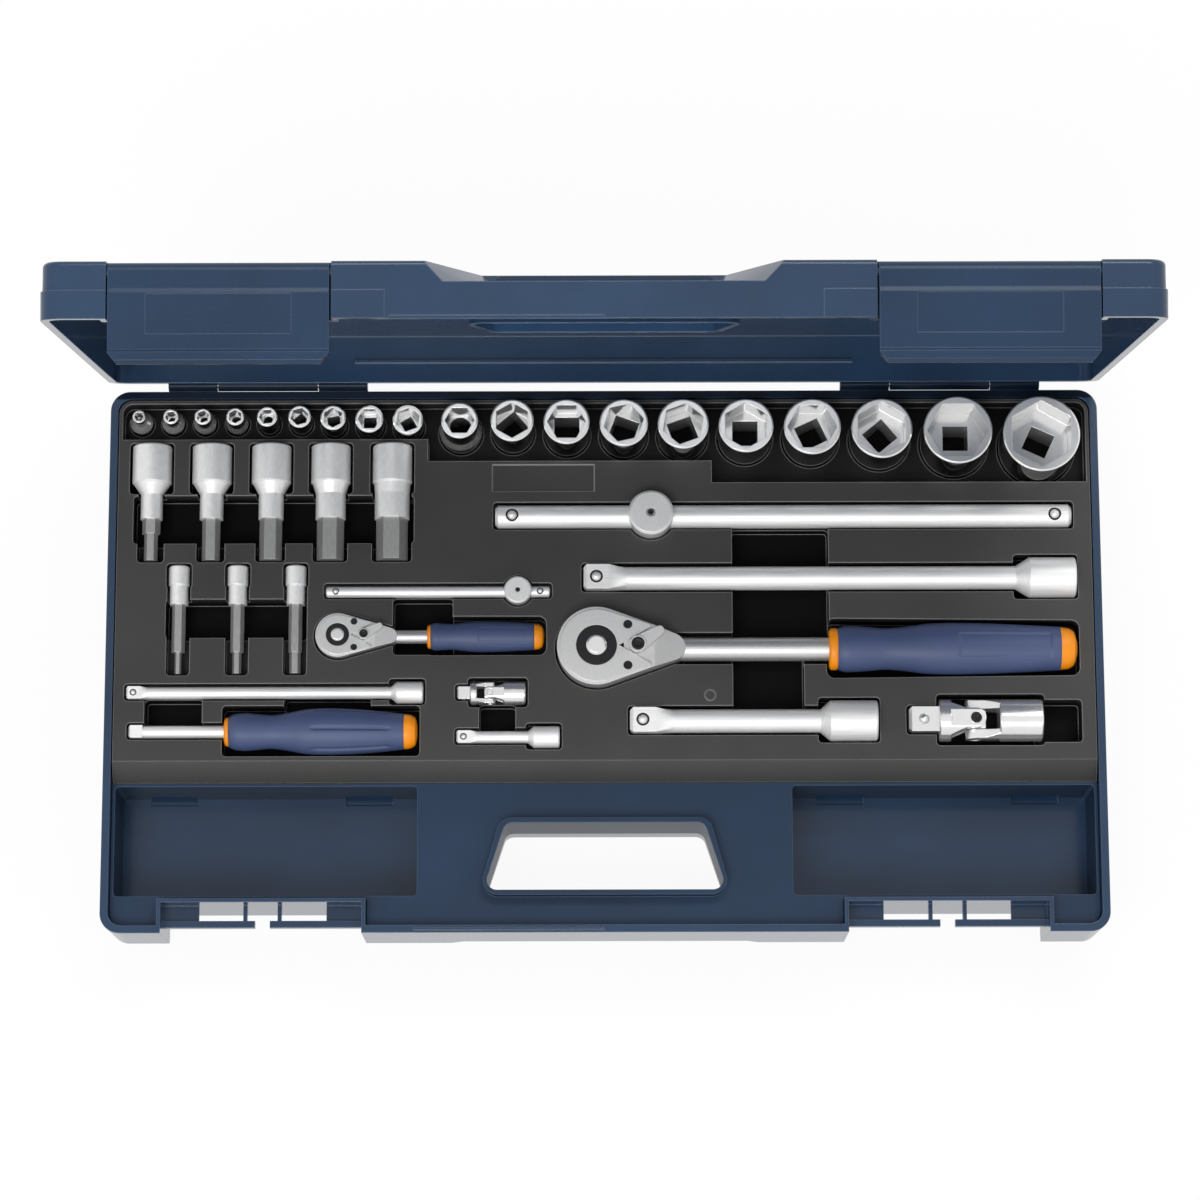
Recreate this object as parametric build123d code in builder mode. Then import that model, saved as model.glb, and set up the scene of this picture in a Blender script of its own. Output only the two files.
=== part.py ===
from build123d import *
from dataclasses import dataclass
from math import cos, radians, sin, sqrt, tan
import os

os.makedirs("parts", exist_ok=True)

# A socket wrench set in its open moulded case, in millimetres.
# X runs along the case, Y towards the hinges, Z up.
# The origin is on the resting face under the middle of the case.

# Case shells
case_width = 505.0
case_depth = 279.0
case_corner = 10.0
case_wall = 3.0
case_draft = 1.0
base_height = 50.0
base_round = 3.0
floor_thickness = 3.0
lid_height = 26.5
lid_panel = 2.5
lid_round = 2.5
lid_band_height = 13.0
lid_band_step = 0.8
lid_band_break = 196.0
lid_ledge_length = 254.0
lid_ledge_depth = 1.6
lid_ledge_rise = 10.0
parting_gap = 0.3
lid_open_angle = 81.0

# Carrying handle: an opening through base and lid, with a hand recess outside
handle_back_width = 100.0
handle_front_width = 122.0
handle_length = 34.0
handle_setback = 21.5
handle_collar = 2.5
handle_round = 5.0
recess_depth = 9.5
recess_front_width = 164.0
recess_back_width = 112.0
recess_slope = 9.0

# Rim tongue on the left half of the front rim, with its groove in the lid
tongue_length = 96.0
tongue_width = 1.4
tongue_height = 1.5
tongue_inset = 1.2
tongue_clearance = 0.3

# Hinges and latches stand at the same distance from the middle
fitting_spread = 172.0
hinge_width = 102.0
hinge_lid_knuckle = 51.0
hinge_knuckle = 6.5
hinge_setback = 3.5
hinge_gap = 0.4
hinge_web = 8.0
hinge_pin = 3.0
hinge_pin_fit = 0.05

# Latches
latch_width = 98.7
latch_gap = 0.9
latch_plate = 3.2
latch_proud = 1.0
latch_bend = 13.5
latch_reach = 20.0
latch_hub = 9.0
latch_hub_inset = 4.2
latch_hub_drop = 5.2
latch_peg = 4.0
latch_peg_length = 2.4
latch_peg_fit = 0.1
latch_clearance = 0.5
latch_side_wall = 3.0
latch_panel_width = 65.0
latch_panel_height = 18.0
latch_panel_depth = 0.5
latch_hook_reach = 4.0
latch_hook_height = 2.4
latch_hook_rise = 1.6
latch_lip_height = 6.5
latch_lip_flare = 1.2
latch_corner_width = 4.0
latch_corner_height = 5.0

# Latch niches in the front of the base
niche_depth = 15.5
niche_wall = 2.0
niche_window_width = 64.0
catch_bar_height = 4.4
catch_bar_depth = 3.5
catch_bar_inset = 4.0
catch_bar_gap = 7.5
catch_rib = 2.0
catch_rib_spread = 8.6
hook_play = 0.6

# Storage deck in front of the tray
deck_height = 42.5
deck_plate = 2.0
deck_gap = 0.3
bin_wall = 1.7
bin_inner_edge = 94.5
bin_margin = 1.5
bin_slot_width = 24.0
bin_slot_height = 6.0
bin_slot_spread = 50.0
bin_slot_reach = 3.4
bin_slot_sink = 1.4

# Tray insert
tray_top = 48.5
tray_skin = 1.5
tray_gap = 0.5
tray_front = -62.6
tray_bevel_length = 10.4
channel_floor = 38.0
channel_edge_left = 114.6
channel_edge_middle = 103.0
channel_edge_right = 91.5
channel_step_left = -90.0
channel_step_right = 55.0
channel_margin = 1.8
channel_round = 4.0
pocket_clearance = 1.2
pocket_round = 2.0
hole_clearance = 0.6
seat_gap = 0.3
finger_floor = 32.0
badge_width = 52.0
badge_height = 14.0
badge_x = -31.0
badge_y = 94.0
badge_depth = 0.6

# Tools lie with their axes at one height, and the drive squares are the standard sizes
tool_axis = 46.0
half_square = 12.7
quarter_square = 6.35
square_fit = 0.15
ball_fit = 0.05
bit_fit = 0.02

# Sockets stand mouth up in a row whose backs line up
socket_back = 131.0
socket_chamfer = 0.7
socket_wall = 1.2


@dataclass
class SocketFamily:
    """What the sockets of one drive share: square, drive end, lengths and the height of their seat."""

    square: float
    drive_end: float
    drive_length: float
    taper: float
    length: float
    long_length: float
    long_from: float
    seat: float
    hex_share: float
    bore_share: float


half_family = SocketFamily(half_square, 21.9, 18.0, 5.0, 38.0, 42.0, 27, 28.0, 0.45, 0.45)
quarter_family = SocketFamily(quarter_square, 11.7, 12.0, 4.0, 25.0, 25.0, 99, 30.0, 0.44, 0.42)

# Across flats, outer diameter, X place, turn of the hexagon and turn of the square
half_sockets = [
    (13, 18.7, -73.4, 0, 10),
    (16, 21.9, -46.7, 30, 40),
    (17, 23.4, -19.0, 0, 0),
    (18, 24.6, 10.1, 12, -20),
    (19, 25.9, 40.3, 20, 20),
    (21, 27.9, 72.2, 30, 0),
    (22, 29.0, 105.9, 0, 25),
    (24, 31.0, 141.2, 30, 40),
    (27, 34.9, 179.5, 0, 0),
    (30, 39.0, 221.8, 30, -25),
]
quarter_sockets = [
    (4, 6.5, -237.5, 0, 0),
    (5, 7.8, -221.2, 10, 15),
    (5.5, 8.5, -204.9, 20, 30),
    (6, 9.2, -188.4, 30, 0),
    (7, 10.5, -172.1, 5, 20),
    (8, 11.7, -155.5, 15, 40),
    (9, 13.0, -138.4, 30, 10),
    (10, 14.3, -119.9, 0, 0),
    (11, 15.5, -100.2, 20, 30),
]

# Hexagon bit sockets lie along Y: hexagon size, shank size, neck diameter and X place
half_bit_back = 111.4
half_bit_length = 60.0
half_bit_body = 20.2
half_bit_body_length = 20.0
half_bit_neck_length = 18.4
half_bit_shoulder = 5.5
half_bit_seat = half_square + 2.0
half_bit_tip_length = 14.0
half_bits = [
    (6, 8, 11.2, -231.0),
    (8, 8, 12.0, -200.4),
    (10, 10, 12.8, -170.0),
    (12, 12, 15.3, -139.6),
    (14, 14, 17.8, -108.2),
]
quarter_bit_back = 48.5
quarter_bit_length = 55.7
quarter_bit_body = 10.6
quarter_bit_body_length = 10.6
quarter_bit_neck_length = 9.4
quarter_bit_seat = quarter_square + 1.0
quarter_bit_neck = 9.4
quarter_bit_shank = 6.0
quarter_bit_tip_length = 11.0
quarter_bits = [(3, -216.1), (4, -186.3), (5, -156.8)]


@dataclass
class SlidingBar:
    """A sliding T-bar: its place, the bar, the head that slides on it and the detent balls."""

    name: str
    start: float
    length: float
    y: float
    bar: float
    head: float
    head_x: float
    head_height: float
    head_bore: float
    square: float
    square_length: float
    ball: float
    ball_inset: float


half_tbar = SlidingBar(
    "tbar_half", -55.5, 293.5, 74.0, 12.0, 22.9, 23.8, 23.0, 4.7, half_square, 14.0, 5.0, 8.6
)
quarter_tbar = SlidingBar(
    "tbar_quarter", -141.4, 113.8, 35.0, 5.8, 14.0, -43.9, 13.0, 2.6, quarter_square, 8.0, 2.6, 5.0
)


@dataclass
class Extension:
    """An extension bar: its place, the male square, the shaft, the flare and the female end."""

    name: str
    start: float
    length: float
    y: float
    shaft: float
    end: float
    end_length: float
    flare: float
    square: float
    square_length: float
    run_out: float
    ball: float


extensions = [
    Extension("extension_half_250", -10.5, 250.0, 41.8, 12.0, 20.8, 23.5, 7.0, half_square, 13.0, 9.0, 5.0),
    Extension("extension_half_125", 12.8, 125.0, -32.0, 12.0, 20.8, 23.8, 5.0, half_square, 13.0, 9.0, 5.0),
    Extension(
        "extension_quarter_150", -241.7, 150.0, -17.0, 6.2, 11.2, 13.2, 3.0, quarter_square, 7.0, 4.0, 2.6
    ),
    Extension(
        "extension_quarter_50", -74.7, 52.0, -40.0, 6.2, 11.2, 13.0, 3.0, quarter_square, 7.0, 4.0, 2.6
    ),
]


@dataclass
class Ratchet:
    """A reversible ratchet: head, mechanism, lever, shank and the two-part grip."""

    name: str
    head_x: float
    y: float
    head_radius: float
    head_thickness: float
    neck_x: float
    neck_radius: float
    shank: float
    cover: float
    cover_tail_x: float
    cover_tail: float
    notch_x: float
    screw: float
    screw_x: float
    screw_spread: float
    ring: float
    gear: float
    gear_teeth: int
    tooth_depth: float
    boss: float
    boss_height: float
    square: float
    square_length: float
    button: float
    button_travel: float
    lever_x: float
    lever_boss: float
    lever_height: float
    lever_arm: float
    lever_width: float
    lever_angle: float
    collar_x: float
    collar: float
    sleeve_x: float
    waist_x: float
    waist: float
    bulge_x: float
    bulge: float
    sleeve_end_x: float
    sleeve_end: float
    cap_length: float
    core_wall: float


half_ratchet = Ratchet(
    name="ratchet_half", head_x=-4.0, y=5.0, head_radius=20.0, head_thickness=22.0,
    neck_x=34.0, neck_radius=7.0, shank=12.0,
    cover=1.6, cover_tail_x=23.5, cover_tail=12.0, notch_x=7.5,
    screw=4.5, screw_x=11.8, screw_spread=10.5,
    ring=20.4, gear=27.0, gear_teeth=24, tooth_depth=1.4, boss=21.0, boss_height=1.5,
    square=half_square, square_length=14.0, button=10.5, button_travel=1.5,
    lever_x=16.9, lever_boss=8.5, lever_height=4.0, lever_arm=13.0, lever_width=4.6, lever_angle=33.0,
    collar_x=113.7, collar=21.5, sleeve_x=117.9, waist_x=142.0, waist=21.0,
    bulge_x=165.0, bulge=26.5, sleeve_end_x=230.9, sleeve_end=22.0, cap_length=8.5, core_wall=2.0,
)
quarter_ratchet = Ratchet(
    name="ratchet_quarter", head_x=-135.0, y=11.8, head_radius=11.3, head_thickness=12.0,
    neck_x=-109.0, neck_radius=4.0, shank=6.8,
    cover=1.2, cover_tail_x=-118.0, cover_tail=7.6, notch_x=-128.2,
    screw=3.4, screw_x=-126.7, screw_spread=6.6,
    ring=11.6, gear=14.4, gear_teeth=18, tooth_depth=0.9, boss=11.8, boss_height=1.0,
    square=quarter_square, square_length=8.0, button=6.8, button_travel=1.0,
    lever_x=-121.7, lever_boss=5.6, lever_height=2.6, lever_arm=9.0, lever_width=3.0, lever_angle=28.0,
    collar_x=-89.8, collar=12.0, sleeve_x=-88.0, waist_x=-78.0, waist=12.2,
    bulge_x=-66.0, bulge=15.8, sleeve_end_x=-35.5, sleeve_end=13.6, cap_length=4.9, core_wall=1.4,
)
running_fit = 0.1
thrust_gap = 0.3
cap_shoulder = 0.62
cap_tip = 0.3


@dataclass
class Universal:
    """A universal joint: a fork with a male square, a cross with two pins, a fork with a female square."""

    name: str
    start: float
    y: float
    square: float
    square_length: float
    body: float
    hub_length: float
    pivot: float
    fork_reach: float
    prong: float
    pin: float
    socket_length: float
    ball: float
    roll: float


half_universal = Universal(
    "universal_half", 153.4, -32.0, half_square, 15.2, 21.5, 6.4, 33.6, 12.0, 10.0, 5.5, 21.9, 5.0, 0
)
quarter_universal = Universal(
    "universal_quarter", -74.5, -17.5, quarter_square, 6.5, 11.6, 3.5, 16.6, 6.6, 5.4, 3.0, 11.4, 2.6, 90
)
universal_swing = 2.0

# Spinner handle with a male square
spinner_start = -240.1
spinner_y = -37.0
spinner_square_length = 7.0
spinner_shaft = 6.4
spinner_collar_x = -191.9
spinner_collar = 14.5
spinner_sleeve_x = -189.6
spinner_waist_x = -170.0
spinner_waist = 17.0
spinner_bulge_x = -148.0
spinner_bulge = 23.5
spinner_sleeve_end_x = -101.2
spinner_sleeve_end = 18.0
spinner_cap_length = 6.7
spinner_core_wall = 2.4
spinner_flutes = 6
spinner_flute = 2.2
spinner_flute_share = 0.7

# Finger recesses of the tray: left, right, front and back edges
finger_recesses = [
    (-240.0, -97.0, 60.0, 85.0),
    (-222.6, -151.3, 11.0, 31.0),
    (-107.3, -76.9, 2.0, 32.0),
    (-232.5, -203.3, -34.5, -20.0),
    (-162.0, -118.0, -26.0, -19.0),
    (-63.4, -45.0, -37.0, -22.7),
    (65.0, 114.0, 8.0, 68.0),
    (65.0, 101.0, -27.0, 8.0),
    (218.0, 241.0, -43.5, -21.7),
]

# Derived places
front = -case_depth / 2
back = case_depth / 2
draft_run = base_height * tan(radians(case_draft))
inner_half_width = case_width / 2 - case_wall - draft_run
inner_half_depth = case_depth / 2 - case_wall - draft_run
rim = Plane.XY.offset(base_height)
lid_rim_height = base_height + parting_gap
lid_rim = Plane.XY.offset(lid_rim_height)
lid_top_height = base_height + lid_height
hinge_axis = Axis((0, back + hinge_setback, base_height), (1, 0, 0))
handle_front = front + handle_setback
handle_back = handle_front + handle_length
latch_pivot_y = front + latch_hub_inset
latch_pivot_z = lid_top_height - latch_hub_drop
latch_pocket_back = latch_pivot_y + latch_hub / 2 + latch_clearance
latch_bottom = base_height - latch_reach
niche_width = latch_width + 2 * latch_gap
niche_back = front + niche_depth
sides = (-1, 1)
deck_back = tray_front - deck_gap
deck_front = deck_gap - inner_half_depth
deck_half_width = inner_half_width - deck_gap
bin_front = niche_back + niche_wall + deck_gap + bin_wall
bin_back = deck_back - bin_margin
bin_width = deck_half_width - bin_margin - bin_inner_edge
bin_x = bin_inner_edge + bin_width / 2


def keep(part, name):
    """Label a finished piece and write it under its name."""
    part.label = name
    export_step(part, f"parts/{name}.step")


def trapezoid(front_width, back_width, front_y, back_y):
    """Corner points of a trapezoid that is symmetric about X = 0."""
    return (
        (-front_width / 2, front_y),
        (front_width / 2, front_y),
        (back_width / 2, back_y),
        (-back_width / 2, back_y),
    )


def rounded(points, radius):
    """A face with the given corner points, its corners rounded."""
    plain = Polygon(*points, align=None, mode=Mode.PRIVATE).face()
    return plain.fillet_2d(radius, plain.vertices())


def handle_outline(grown):
    """Corner points of the handle opening, grown outwards by a wall."""
    return trapezoid(
        handle_front_width + 2 * grown,
        handle_back_width + 2 * grown,
        handle_front - grown,
        handle_back + grown,
    )


def recess_outline(grown):
    """Corner points of the hand recess, grown or shrunk; it runs out through the front."""
    return trapezoid(
        recess_front_width + 2 * grown, recess_back_width + 2 * grown, front - 1, handle_back + grown
    )


def knuckle_spans():
    """X spans of the base knuckles and of the lid knuckle of one hinge, measured from its middle."""
    outer = hinge_width / 2
    inner = hinge_lid_knuckle / 2
    return [(-outer, -inner - hinge_gap), (inner + hinge_gap, outer)], [(-inner, inner)]


base_knuckles, lid_knuckles = knuckle_spans()
hinge_side = Plane(origin=(0, 0, 0), x_dir=(0, 1, 0), z_dir=(1, 0, 0))

# Base shell
with BuildPart() as case_base:
    with BuildSketch(rim):
        RectangleRounded(case_width, case_depth, case_corner)
    extrude(amount=-base_height, taper=case_draft)
    fillet(case_base.faces().sort_by(Axis.Z)[0].edges(), base_round)
    # Hollow, leaving the walls of the latch niches standing
    with BuildSketch(rim):
        RectangleRounded(2 * inner_half_width, 2 * inner_half_depth, case_corner - case_wall)
        for side in sides:
            with Locations((side * fitting_spread, front)):
                Rectangle(
                    niche_width + 2 * niche_wall,
                    2 * (niche_depth + niche_wall),
                    mode=Mode.SUBTRACT,
                )
    extrude(amount=floor_thickness - base_height, mode=Mode.SUBTRACT)
    # Raised floor over the hand recess, then the recess and the handle opening
    with BuildSketch():
        Polygon(*recess_outline(case_wall), align=None)
        Rectangle(case_width, 2 * inner_half_depth, mode=Mode.INTERSECT)
    extrude(amount=recess_depth + floor_thickness)
    with BuildSketch():
        Polygon(*recess_outline(0), align=None)
    with BuildSketch(Plane.XY.offset(recess_depth)):
        Polygon(*recess_outline(-recess_slope), align=None)
    loft(mode=Mode.SUBTRACT)
    with BuildSketch():
        add(rounded(handle_outline(0), handle_round))
    extrude(amount=base_height, mode=Mode.SUBTRACT)
    # Hollows in the floor where the slots of the bins end
    with BuildSketch(Plane.XY.offset(floor_thickness)):
        for side in sides:
            with Locations((side * bin_x, bin_back + (bin_wall - bin_slot_reach) / 2)):
                with GridLocations(2 * bin_slot_spread, 0, 2, 1):
                    Rectangle(bin_slot_width, bin_slot_reach + bin_wall)
    extrude(amount=-bin_slot_sink, mode=Mode.SUBTRACT)
    # Latch niches, open at the front, above and below
    with BuildSketch():
        for side in sides:
            with Locations((side * fitting_spread, front)):
                Rectangle(niche_width, 2 * niche_depth)
    extrude(amount=base_height, mode=Mode.SUBTRACT)
    # Catch bars that the hooks snap under, on ribs from the niche wall and webs at their outer ends
    bar_bottom = latch_bottom + latch_hook_rise + latch_hook_height + hook_play
    bar_back = front + catch_bar_inset + catch_bar_depth
    bar_length = (niche_width - catch_bar_gap) / 2
    with BuildSketch(Plane.XY.offset(bar_bottom)):
        for side in sides:
            for half in sides:
                bar_x = side * fitting_spread + half * (catch_bar_gap + bar_length) / 2
                with Locations((bar_x, bar_back - catch_bar_depth / 2)):
                    Rectangle(bar_length, catch_bar_depth)
                rib_x = side * fitting_spread + half * catch_rib_spread
                with Locations((rib_x, (bar_back + niche_back) / 2)):
                    Rectangle(catch_rib, niche_back - bar_back)
    extrude(amount=catch_bar_height)
    web_width = (niche_width - niche_window_width) / 2
    with BuildSketch(Plane.XY.offset(bar_bottom)):
        for side in sides:
            with Locations((side * fitting_spread, (bar_back + niche_back) / 2)):
                with GridLocations(niche_width - web_width, 0, 2, 1):
                    Rectangle(web_width, niche_back - bar_back)
    extrude(amount=niche_wall)
    # Hinge knuckles with webs down the back wall
    for side in sides:
        for left, right in base_knuckles:
            with BuildSketch(hinge_side.offset(side * fitting_spread + left)):
                with Locations((hinge_axis.position.Y, hinge_axis.position.Z)):
                    Circle(hinge_knuckle / 2)
                Polygon(
                    (back - case_wall / 2, base_height),
                    (hinge_axis.position.Y + hinge_knuckle / 2, base_height),
                    (back - case_wall / 2, base_height - hinge_web),
                    align=None,
                )
            extrude(amount=right - left)
    with BuildSketch(hinge_side.offset(-case_width)):
        with Locations((hinge_axis.position.Y, hinge_axis.position.Z)):
            Circle(hinge_pin / 2 + hinge_pin_fit)
    extrude(amount=2 * case_width, mode=Mode.SUBTRACT)
    # Tongue on the left half of the front rim
    with BuildSketch(rim):
        with Locations((-tongue_length / 2, front + tongue_inset + tongue_width / 2)):
            Rectangle(tongue_length, tongue_width)
    extrude(amount=tongue_height)
keep(case_base.part, "case_base")

# Lid shell, drawn closed on the base and then swung open about the hinge axis
with BuildPart() as case_lid:
    with BuildSketch(lid_rim):
        RectangleRounded(case_width, case_depth, case_corner)
    extrude(amount=lid_band_height)
    with BuildSketch(lid_rim.offset(lid_band_height)):
        RectangleRounded(
            case_width - 2 * lid_band_step, case_depth - 2 * lid_band_step, case_corner - lid_band_step
        )
    extrude(amount=lid_height - parting_gap - lid_band_height, taper=case_draft)
    fillet(case_lid.faces().sort_by(Axis.Z)[-1].edges(), lid_round)
    # Hollow, leaving the latch housings, the handle collar and the back of the hand recess standing
    housing_width = niche_width + 2 * latch_side_wall
    housing_depth = latch_pocket_back + case_wall - front
    with BuildSketch(lid_rim):
        RectangleRounded(2 * inner_half_width, 2 * inner_half_depth, case_corner - case_wall)
        for side in sides:
            with Locations((side * fitting_spread, front)):
                Rectangle(housing_width, 2 * housing_depth, mode=Mode.SUBTRACT)
        Polygon(*recess_outline(case_wall), align=None, mode=Mode.SUBTRACT)
    extrude(amount=lid_height - parting_gap - lid_panel, mode=Mode.SUBTRACT)
    with BuildSketch(lid_rim):
        Polygon(*recess_outline(case_wall), align=None)
        Rectangle(case_width, 2 * inner_half_depth, mode=Mode.INTERSECT)
        add(rounded(handle_outline(handle_collar), handle_round + handle_collar), mode=Mode.SUBTRACT)
    extrude(amount=lid_height - parting_gap - recess_depth - lid_panel, mode=Mode.SUBTRACT)
    with BuildSketch(Plane.XY.offset(lid_top_height)):
        Polygon(*recess_outline(0), align=None)
    with BuildSketch(Plane.XY.offset(lid_top_height - recess_depth)):
        Polygon(*recess_outline(-recess_slope), align=None)
    loft(mode=Mode.SUBTRACT)
    with BuildSketch(rim):
        add(rounded(handle_outline(0), handle_round))
    extrude(amount=lid_height, mode=Mode.SUBTRACT)
    # The band stops short of the handle
    with BuildSketch(lid_rim):
        with Locations((0, front)):
            Rectangle(lid_band_break, 2 * lid_band_step)
    extrude(amount=lid_band_height, mode=Mode.SUBTRACT)
    # Open pockets for the latches, with peg holes in their side walls
    with BuildSketch(rim):
        for side in sides:
            with Locations((side * fitting_spread, front)):
                Rectangle(niche_width, 2 * (latch_pocket_back - front))
    extrude(amount=lid_height, mode=Mode.SUBTRACT)
    for side in sides:
        with BuildSketch(hinge_side.offset(side * fitting_spread - niche_width / 2 - latch_side_wall)):
            with Locations((latch_pivot_y, latch_pivot_z)):
                Circle(latch_peg / 2 + latch_peg_fit)
        extrude(amount=niche_width + 2 * latch_side_wall, mode=Mode.SUBTRACT)
    # Hinge knuckles with webs up the back wall
    for side in sides:
        for left, right in lid_knuckles:
            with BuildSketch(hinge_side.offset(side * fitting_spread + left)):
                with Locations((hinge_axis.position.Y, hinge_axis.position.Z)):
                    Circle(hinge_knuckle / 2)
                Polygon(
                    (back - case_wall / 2, lid_rim_height),
                    (hinge_axis.position.Y + hinge_knuckle / 2, lid_rim_height),
                    (back - case_wall / 2, lid_rim_height + hinge_web),
                    align=None,
                )
            extrude(amount=right - left)
    with BuildSketch(hinge_side.offset(-case_width)):
        with Locations((hinge_axis.position.Y, hinge_axis.position.Z)):
            Circle(hinge_pin / 2 + hinge_pin_fit)
    extrude(amount=2 * case_width, mode=Mode.SUBTRACT)
    # Ledge along the inside of the hinge wall
    with BuildSketch(lid_rim.offset(lid_ledge_rise)):
        with Locations((0, inner_half_depth)):
            Rectangle(lid_ledge_length, 2 * lid_ledge_depth)
    extrude(amount=lid_ledge_depth)
    # Groove over the rim tongue
    with BuildSketch(rim):
        with Locations((-tongue_length / 2, front + tongue_inset + tongue_width / 2)):
            Rectangle(tongue_length + 2 * tongue_clearance, tongue_width + 2 * tongue_clearance)
    extrude(amount=tongue_height + tongue_clearance, mode=Mode.SUBTRACT)
keep(case_lid.part.rotate(hinge_axis, -lid_open_angle), "case_lid")

# Hinge pins, one through the knuckles of each hinge
with BuildPart() as lid_hinge_pins:
    for side in sides:
        with BuildSketch(hinge_side.offset(side * fitting_spread - hinge_width / 2)):
            with Locations((hinge_axis.position.Y, hinge_axis.position.Z)):
                Circle(hinge_pin / 2)
        extrude(amount=hinge_width)
keep(lid_hinge_pins.part, "lid_hinge_pins")

# Latches: a bent plate on a hub, with pegs at its ends and a hook along its foot
for side, latch_name in zip(sides, ("latch_left", "latch_right")):
    middle = side * fitting_spread
    plate_back = front - latch_proud + latch_plate
    bend_height = lid_top_height - latch_bend
    hook_tip = plate_back + latch_hook_reach
    hook_bottom = latch_bottom + latch_hook_rise
    lip_front = front - latch_proud - latch_lip_flare
    with BuildPart() as latch:
        with BuildSketch(hinge_side.offset(middle - latch_width / 2)):
            with Locations((latch_pivot_y, latch_pivot_z)):
                Circle(latch_hub / 2)
            Polygon(
                (latch_pivot_y, latch_pivot_z + latch_hub / 2),
                (latch_pivot_y - latch_hub / 2, latch_pivot_z),
                (latch_pivot_y - latch_hub / 2, bend_height + latch_proud),
                (front - latch_proud, bend_height - latch_proud),
                (front - latch_proud, latch_bottom + latch_lip_height),
                (lip_front, latch_bottom + latch_lip_height - latch_lip_flare),
                (lip_front, hook_bottom),
                (front, latch_bottom),
                (plate_back, latch_bottom),
                (hook_tip, hook_bottom),
                (hook_tip, hook_bottom + latch_hook_height),
                (plate_back, hook_bottom + latch_hook_height),
                (plate_back, bend_height),
                (latch_pivot_y, latch_pivot_z - latch_hub / 2),
                align=None,
            )
        extrude(amount=latch_width)
        with BuildSketch(hinge_side.offset(middle - latch_width / 2 - latch_gap - latch_peg_length)):
            with Locations((latch_pivot_y, latch_pivot_z)):
                Circle(latch_peg / 2)
        extrude(amount=latch_width + 2 * (latch_gap + latch_peg_length))
        with BuildSketch(Plane.XZ.offset(-front + latch_proud - latch_panel_depth)):
            with Locations((middle, bend_height - latch_proud - latch_panel_height / 2 - latch_panel_depth)):
                Rectangle(latch_panel_width, latch_panel_height)
        extrude(amount=latch_plate, mode=Mode.SUBTRACT)
        with BuildSketch(Plane.XZ.offset(-front)):
            for end in sides:
                corner = middle + end * latch_width / 2
                Polygon(
                    (corner, latch_bottom),
                    (corner, latch_bottom + latch_corner_height),
                    (corner - end * latch_corner_width, latch_bottom),
                    align=None,
                )
        extrude(amount=niche_depth, both=True, mode=Mode.SUBTRACT)
    keep(latch.part.rotate(hinge_axis, -lid_open_angle), latch_name)

# Storage deck: a plate with two bins and the handle collar, standing on the floor of the base
with BuildPart() as storage_deck:
    with BuildSketch(Plane.XY.offset(deck_height)) as deck_outline:
        with Locations((0, (deck_front + deck_back) / 2)):
            Rectangle(2 * deck_half_width, deck_back - deck_front)
        fillet(deck_outline.vertices().group_by(Axis.Y)[0], case_corner - case_wall)
        for side in sides:
            with Locations((side * fitting_spread, front)):
                Rectangle(
                    niche_width + 2 * (niche_wall + deck_gap),
                    2 * (niche_depth + niche_wall + deck_gap),
                    mode=Mode.SUBTRACT,
                )
    extrude(amount=-deck_plate)
    with BuildSketch(Plane.XY.offset(floor_thickness)):
        for side in sides:
            with Locations((side * bin_x, (bin_front + bin_back) / 2)):
                Rectangle(bin_width + 2 * bin_wall, bin_back - bin_front + 2 * bin_wall)
        with Locations((0, deck_back - bin_wall / 2)):
            Rectangle(2 * deck_half_width, bin_wall)
    extrude(amount=deck_height - floor_thickness - deck_plate)
    with BuildSketch(Plane.XY.offset(floor_thickness)):
        for side in sides:
            with Locations((side * bin_x, (bin_front + bin_back) / 2)):
                RectangleRounded(bin_width, bin_back - bin_front, pocket_round)
    extrude(amount=deck_height, mode=Mode.SUBTRACT)
    with BuildSketch(Plane.XY.offset(floor_thickness)):
        for side in sides:
            with Locations((side * bin_x, bin_back + bin_wall / 2)):
                with GridLocations(2 * bin_slot_spread, 0, 2, 1):
                    Rectangle(bin_slot_width, 4 * bin_wall)
    extrude(amount=bin_slot_height, mode=Mode.SUBTRACT)
    with BuildSketch(Plane.XY.offset(recess_depth + floor_thickness)):
        add(rounded(handle_outline(handle_collar), handle_round + handle_collar))
    extrude(amount=base_height - parting_gap - recess_depth - floor_thickness)
    with BuildSketch():
        add(rounded(handle_outline(0), handle_round))
    extrude(amount=base_height, mode=Mode.SUBTRACT)
keep(storage_deck.part, "storage_deck")


def hexagon(across_flats, turn=0):
    """A regular hexagon given across its flats."""
    return RegularPolygon(across_flats / 2, 6, major_radius=False, rotation=turn)


def size_name(size):
    """A size as it is written in a piece's name."""
    return str(size).replace(".", "_")


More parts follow.
